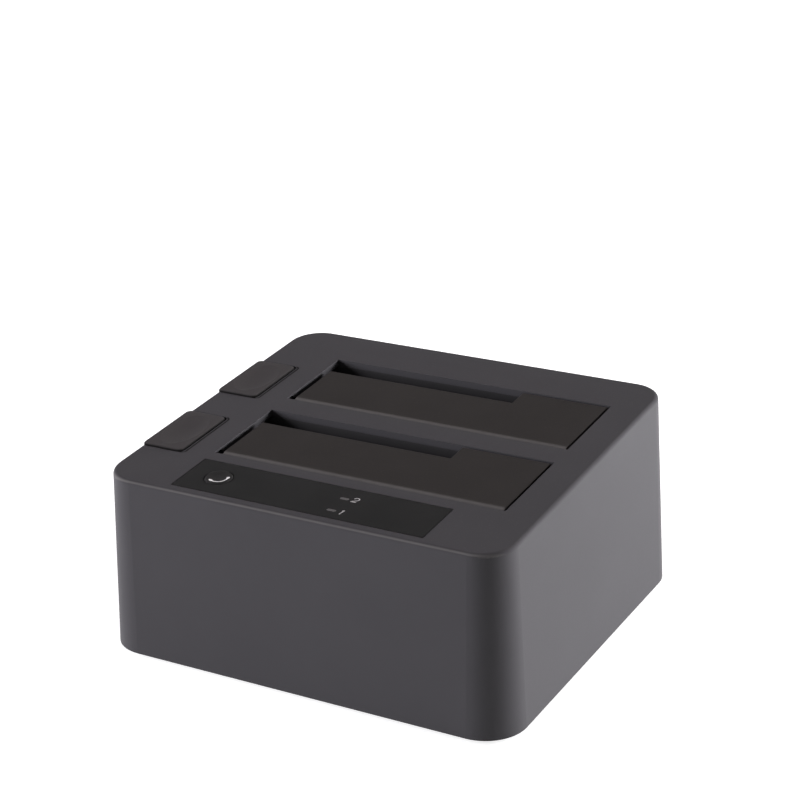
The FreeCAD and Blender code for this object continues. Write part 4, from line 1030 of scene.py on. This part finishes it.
@dataclass
class ControlStrip(SubAssembly):
    """Gloss panel with the power button, two numbered indicators and what lies under them."""

    nodes: tuple[str, ...] = ("control_panel", "light_pipes", "power_button", "switch_plunger", "push_switch",
                              "control_board", "control_board_screws", "indicator_lamps", "ribbon_cable",
                              "ribbon_sockets")
    numeral_height: float = 2.6 * MM
    numeral_width: float = 1.7 * MM
    numeral_lean: float = 0.18
    numeral_stroke: float = 0.42 * MM
    numeral_gap: float = 2.2 * MM
    numeral_inset: float = 0.65 * MM
    flag_size: Point = (0.55, 0.5)
    bowl_arc: Span = (165.0, -38.0)
    bowl_steps: int = 12
    glint_radius: float = 3.05 * MM
    glint_stroke: float = 0.6 * MM
    glint_arc: Span = (-122.0, 14.0)
    glint_steps: int = 30
    glint_dot: float = 1.2 * MM
    top: SlopedTop = field(default_factory=SlopedTop)

    def build(self, finishes: Finishes) -> None:
        """Dress the strip, print its numerals and paint a glint on the power button.

        Args:
            finishes: The dock's finishes.
        """
        super().build(finishes)
        self.print_numerals(finishes.ink)
        self.paint_button_glint(finishes.mark)

    def numeral(self, digit: int) -> list[list[Point]]:
        """The strokes of a plain numeral, drawn from its middle.

        Args:
            digit: 1 or 2.

        Returns:
            Its strokes.
        """
        half_w, half_h = self.numeral_width / 2, self.numeral_height / 2
        if digit == 1:
            flag_end = (-self.flag_size[0] * half_w, half_h - self.flag_size[1] * half_w)
            strokes = [[(0.0, -half_h), (0.0, half_h)], [(0.0, half_h), flag_end]]
        else:
            foot = (-half_w, -half_h)
            bowl = arc((0.0, half_h - half_w), half_w, *self.bowl_arc, self.bowl_steps)
            strokes = [[*bowl, foot], [foot, (half_w, -half_h)]]
        return [[(x + self.numeral_lean * y, y) for x, y in stroke] for stroke in strokes]

    def print_numerals(self, ink: Material) -> None:
        """Print 1 and 2 beside the indicator windows.

        Args:
            ink: The numerals' material.
        """
        low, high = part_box("light_pipes")
        for digit, depth in ((1, low.y + self.numeral_inset), (2, high.y - self.numeral_inset)):
            mark = PrintedMark(f"numeral_{digit}", self.numeral(digit), self.numeral_stroke)
            origin = self.top.at(high.x + self.numeral_gap, depth)
            mark.print_on("control_panel", origin, self.top.normal, "dock_body", ink)

    def paint_button_glint(self, ink: Material) -> None:
        """Paint a reflection of the power button's dish rim: a pale arc with a bright dot at each end, on the side
        towards the main camera.

        Args:
            ink: The painted reflection's material.
        """
        origin = self.top.middle_of("power_button")
        # painted reflection of the dish rim, placed on the side that faces the main camera
        glint_points = arc((0.0, 0.0), self.glint_radius, *self.glint_arc, self.glint_steps)
        for name, strokes, width in (("power_glint_arc", [glint_points], self.glint_stroke),
                                     ("power_glint_dots", [glint_points[:2], glint_points[-2:]], self.glint_dot)):
            mark = PrintedMark(name, strokes, width)
            mark.print_on("power_button", origin, self.top.normal, "power_button", ink)


@dataclass
class DriveBay:
    """One bay: shaft, flap door with its spring, eject button, lever and socket."""

    side: Side
    kinds: tuple[str, ...] = ("bay_frame", "door", "hinge_pin", "door_spring", "eject_button", "eject_spring",
                              "ejector_lever", "lever_pin", "drive_socket", "socket_contacts")
    door_spring_wire: float = 0.5 * MM

    def build(self, finishes: Finishes) -> None:
        """Dress the bay and put copies in place of its springs.

        Args:
            finishes: The dock's finishes.
        """
        for kind in self.kinds:
            finishes.dress(f"{self.side.value}_{kind}")
        self.wind_door_spring()
        self.press_eject_spring()

    def free_spring(self, node: str) -> Object:
        """A copy that stands for a spring's CAD node, which it hides.

        Args:
            node: The spring's name.

        Returns:
            The copy.
        """
        piece = put_in_scene(f"{node}_wire", frame["nodes"][node].data.copy())
        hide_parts(node)
        LOG.info("%s stands for %s", piece.name, node)
        return piece

    def wind_door_spring(self) -> None:
        """Put a copy in place of the door spring, with its placement baked into its mesh."""
        door = f"{self.side.value}_door"
        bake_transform(self.free_spring(f"{door}_spring"))

    def press_eject_spring(self) -> None:
        """Put a copy in place of the eject spring, on the dock's body and with a mesh of its own."""
        spring, press = f"{self.side.value}_eject_spring", f"{self.side.value}_eject_press"
        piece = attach(self.free_spring(spring), "dock_body")
        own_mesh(piece)


@dataclass
class Electronics(SubAssembly):
    """Main board with its large components and the two rear ports."""

    nodes: tuple[str, ...] = ("main_board", "main_board_screws", "bridge_chip", "capacitors", "power_coil",
                              "crystal", "usb_port_shell", "usb_port_insert", "power_jack", "power_jack_pin")


@dataclass(frozen=True)
class Softbox:
    """A broad lamp that looks at the dock from a distance and doesn't show in its gloss."""

    name: str
    azimuth: float
    elevation: float
    distance: float
    width: float
    height: float
    power: float
    colour: Colour

    def place(self, target: Vector) -> None:
        """Hang the lamp.

        Args:
            target: The point that it looks at.
        """
        lamp = bpy.data.lights.new(self.name, "AREA")
        lamp.shape = "RECTANGLE"
        lamp.size, lamp.size_y = self.width, self.height
        lamp.energy = self.power
        lamp.color = self.colour
        body = put_in_scene(self.name, lamp)
        body.visible_glossy = False
        back = back_vector(self.azimuth, self.elevation)
        body.location = target + back * self.distance
        body.rotation_euler = back.to_track_quat("Z", "Y").to_euler()
        LOG.info("%s is hung", self.name)


def back_vector(azimuth: float, elevation: float) -> Vector:
    """The direction from the dock towards a viewer or lamp.

    Args:
        azimuth: Degrees round the dock, from its front towards its right.
        elevation: Degrees above the table.

    Returns:
        A unit vector.
    """
    turn, rise = math.radians(azimuth), math.radians(elevation)
    return Vector((math.sin(turn) * math.cos(rise), -math.cos(turn) * math.cos(rise), math.sin(rise)))


@dataclass
class Studio:
    """Pale floor, dim ceiling, soft lamps and the camera."""

    camera_azimuth: float = 29.28
    camera_elevation: float = 21.975
    camera_roll: float = -1.69
    camera_distance: float = 0.700
    camera_target: tuple[float, float, float] = (-0.00705, 0.01857, 0.06942)
    camera_clip: Span = (0.01, 50.0)
    lens: float = 92.31
    sensor: float = 36.0
    floor_size: float = 12.0
    floor_colour: Colour = (0.55, 0.55, 0.55)
    floor_glow: Span = (0.74, 0.97)
    floor_reach: Span = (0.1, 0.4)
    ground_light: float = 0.9
    ceiling_light: float = 0.12
    horizon: Span = (-0.02, 0.1)
    lit_height: float = 0.04
    lamps: tuple[Softbox, ...] = (
        Softbox("right_rear_softbox", azimuth=130.0, elevation=9.0, distance=1.1, width=0.6, height=0.36,
                power=35.0, colour=(0.98, 0.98, 1.0)),
        Softbox("front_left_softbox", azimuth=-60.0, elevation=15.0, distance=1.3, width=0.7, height=0.5,
                power=27.0, colour=(0.95, 0.94, 1.0)),
        Softbox("overhead_softbox", azimuth=190.0, elevation=75.0, distance=1.2, width=0.8, height=0.8,
                power=3.0, colour=(1.0, 0.84, 0.84)),
    )

    def build(self) -> None:
        """Set up everything round the dock."""
        self.make_world()
        self.make_floor()
        for lamp in self.lamps:
            lamp.place(Vector((0.0, 0.0, self.lit_height)))
        self.make_camera()
        bpy.context.scene.view_settings.view_transform = "Standard"

    def make_world(self) -> None:
        """A pale ground up to the horizon and a dim ceiling over it, white where the camera sees it."""
        world = bpy.data.worlds.new("surroundings")
        bpy.context.scene.world = world
        graph = Graph(clear_nodes(world))
        height = graph.parts(graph.add("TexCoord").outputs["Generated"])["Z"]
        start, end = self.horizon
        level = graph.add("MapRange", {"clamp": True}, Value=height, From_Min=start, From_Max=end,
                          To_Min=self.ground_light, To_Max=self.ceiling_light)
        seen = graph.add("LightPath").outputs["Is Camera Ray"]
        room = graph.add("Background", {}, Color=Tone.WHITE.value,
                         Strength=graph.math("MAXIMUM", seen, level.outputs[0]))
        graph.add("OutputWorld", {}, Surface=room.outputs[0])

    def make_floor(self) -> None:
        """Pale floor that keeps the dock's shadow and is clear from below.

        Rays from the camera, mirrored or let through see it brighter further out.
        """
        half = self.floor_size / 2
        mesh = bpy.data.meshes.new("floor")
        mesh.from_pydata([(-half, -half, 0.0), (half, -half, 0.0), (half, half, 0.0), (-half, half, 0.0)], [],
                         [(0, 1, 2, 3)])
        material = bpy.data.materials.new("pale_floor")
        graph = Graph(clear_nodes(material))
        away = graph.add("VectorMath", {"operation": "LENGTH"})
        graph.feed(away.inputs[0], graph.place())
        (near, far), (low, high) = self.floor_reach, self.floor_glow
        level = graph.add("MapRange", {"interpolation_type": "SMOOTHSTEP"}, Value=away.outputs["Value"],
                          From_Min=near, From_Max=far, To_Min=low, To_Max=high)
        path = graph.add("LightPath").outputs
        seen = graph.math("MAXIMUM", path["Is Camera Ray"], path["Is Glossy Ray"])
        shown = graph.math("MAXIMUM", seen, path["Is Transmission Ray"])
        glow = graph.add("Emission", {}, Color=Tone.WHITE.value,
                         Strength=graph.times(shown, level.outputs[0]))
        both = graph.add("AddShader")
        matt = graph.add("BsdfDiffuse", {}, Color=self.floor_colour)
        graph.feed_in_order(both, (matt.outputs[0], glow.outputs[0]))
        below = graph.add("MixShader", {}, Fac=graph.add("NewGeometry").outputs["Backfacing"])
        graph.feed_in_order(below, (both.outputs[0], graph.add("BsdfTransparent").outputs[0]), first=1)
        graph.add("OutputMaterial", {}, Surface=below.outputs[0])
        mesh.materials.append(material)
        put_in_scene("floor", mesh)

    def make_camera(self) -> None:
        """The photograph's viewpoint."""
        lens = bpy.data.cameras.new("photo_camera")
        lens.lens = self.lens
        lens.sensor_width = self.sensor
        lens.clip_start, lens.clip_end = self.camera_clip
        camera = put_in_scene("photo_camera", lens)
        back = back_vector(self.camera_azimuth, self.camera_elevation)
        level = Vector((0.0, 0.0, 1.0)).cross(back).normalized()
        right = Matrix.Rotation(math.radians(self.camera_roll), 3, back) @ level
        turn = Matrix((right, back.cross(right), back)).transposed().to_4x4()
        place = Vector(self.camera_target) + back * self.camera_distance
        camera.matrix_world = Matrix.Translation(place) @ turn
        bpy.context.scene.camera = camera


def main() -> None:
    """Dress the dock, one sub-assembly after the other, and set up the studio."""
    logging.basicConfig(level=logging.INFO, format="%(message)s", stream=sys.stdout)
    finishes = Finishes()
    Shell().build(finishes)
    ControlStrip().build(finishes)
    for side in Side:
        DriveBay(side).build(finishes)
    Electronics().build(finishes)
    Studio().build()


if __name__ == "__main__":
    main()
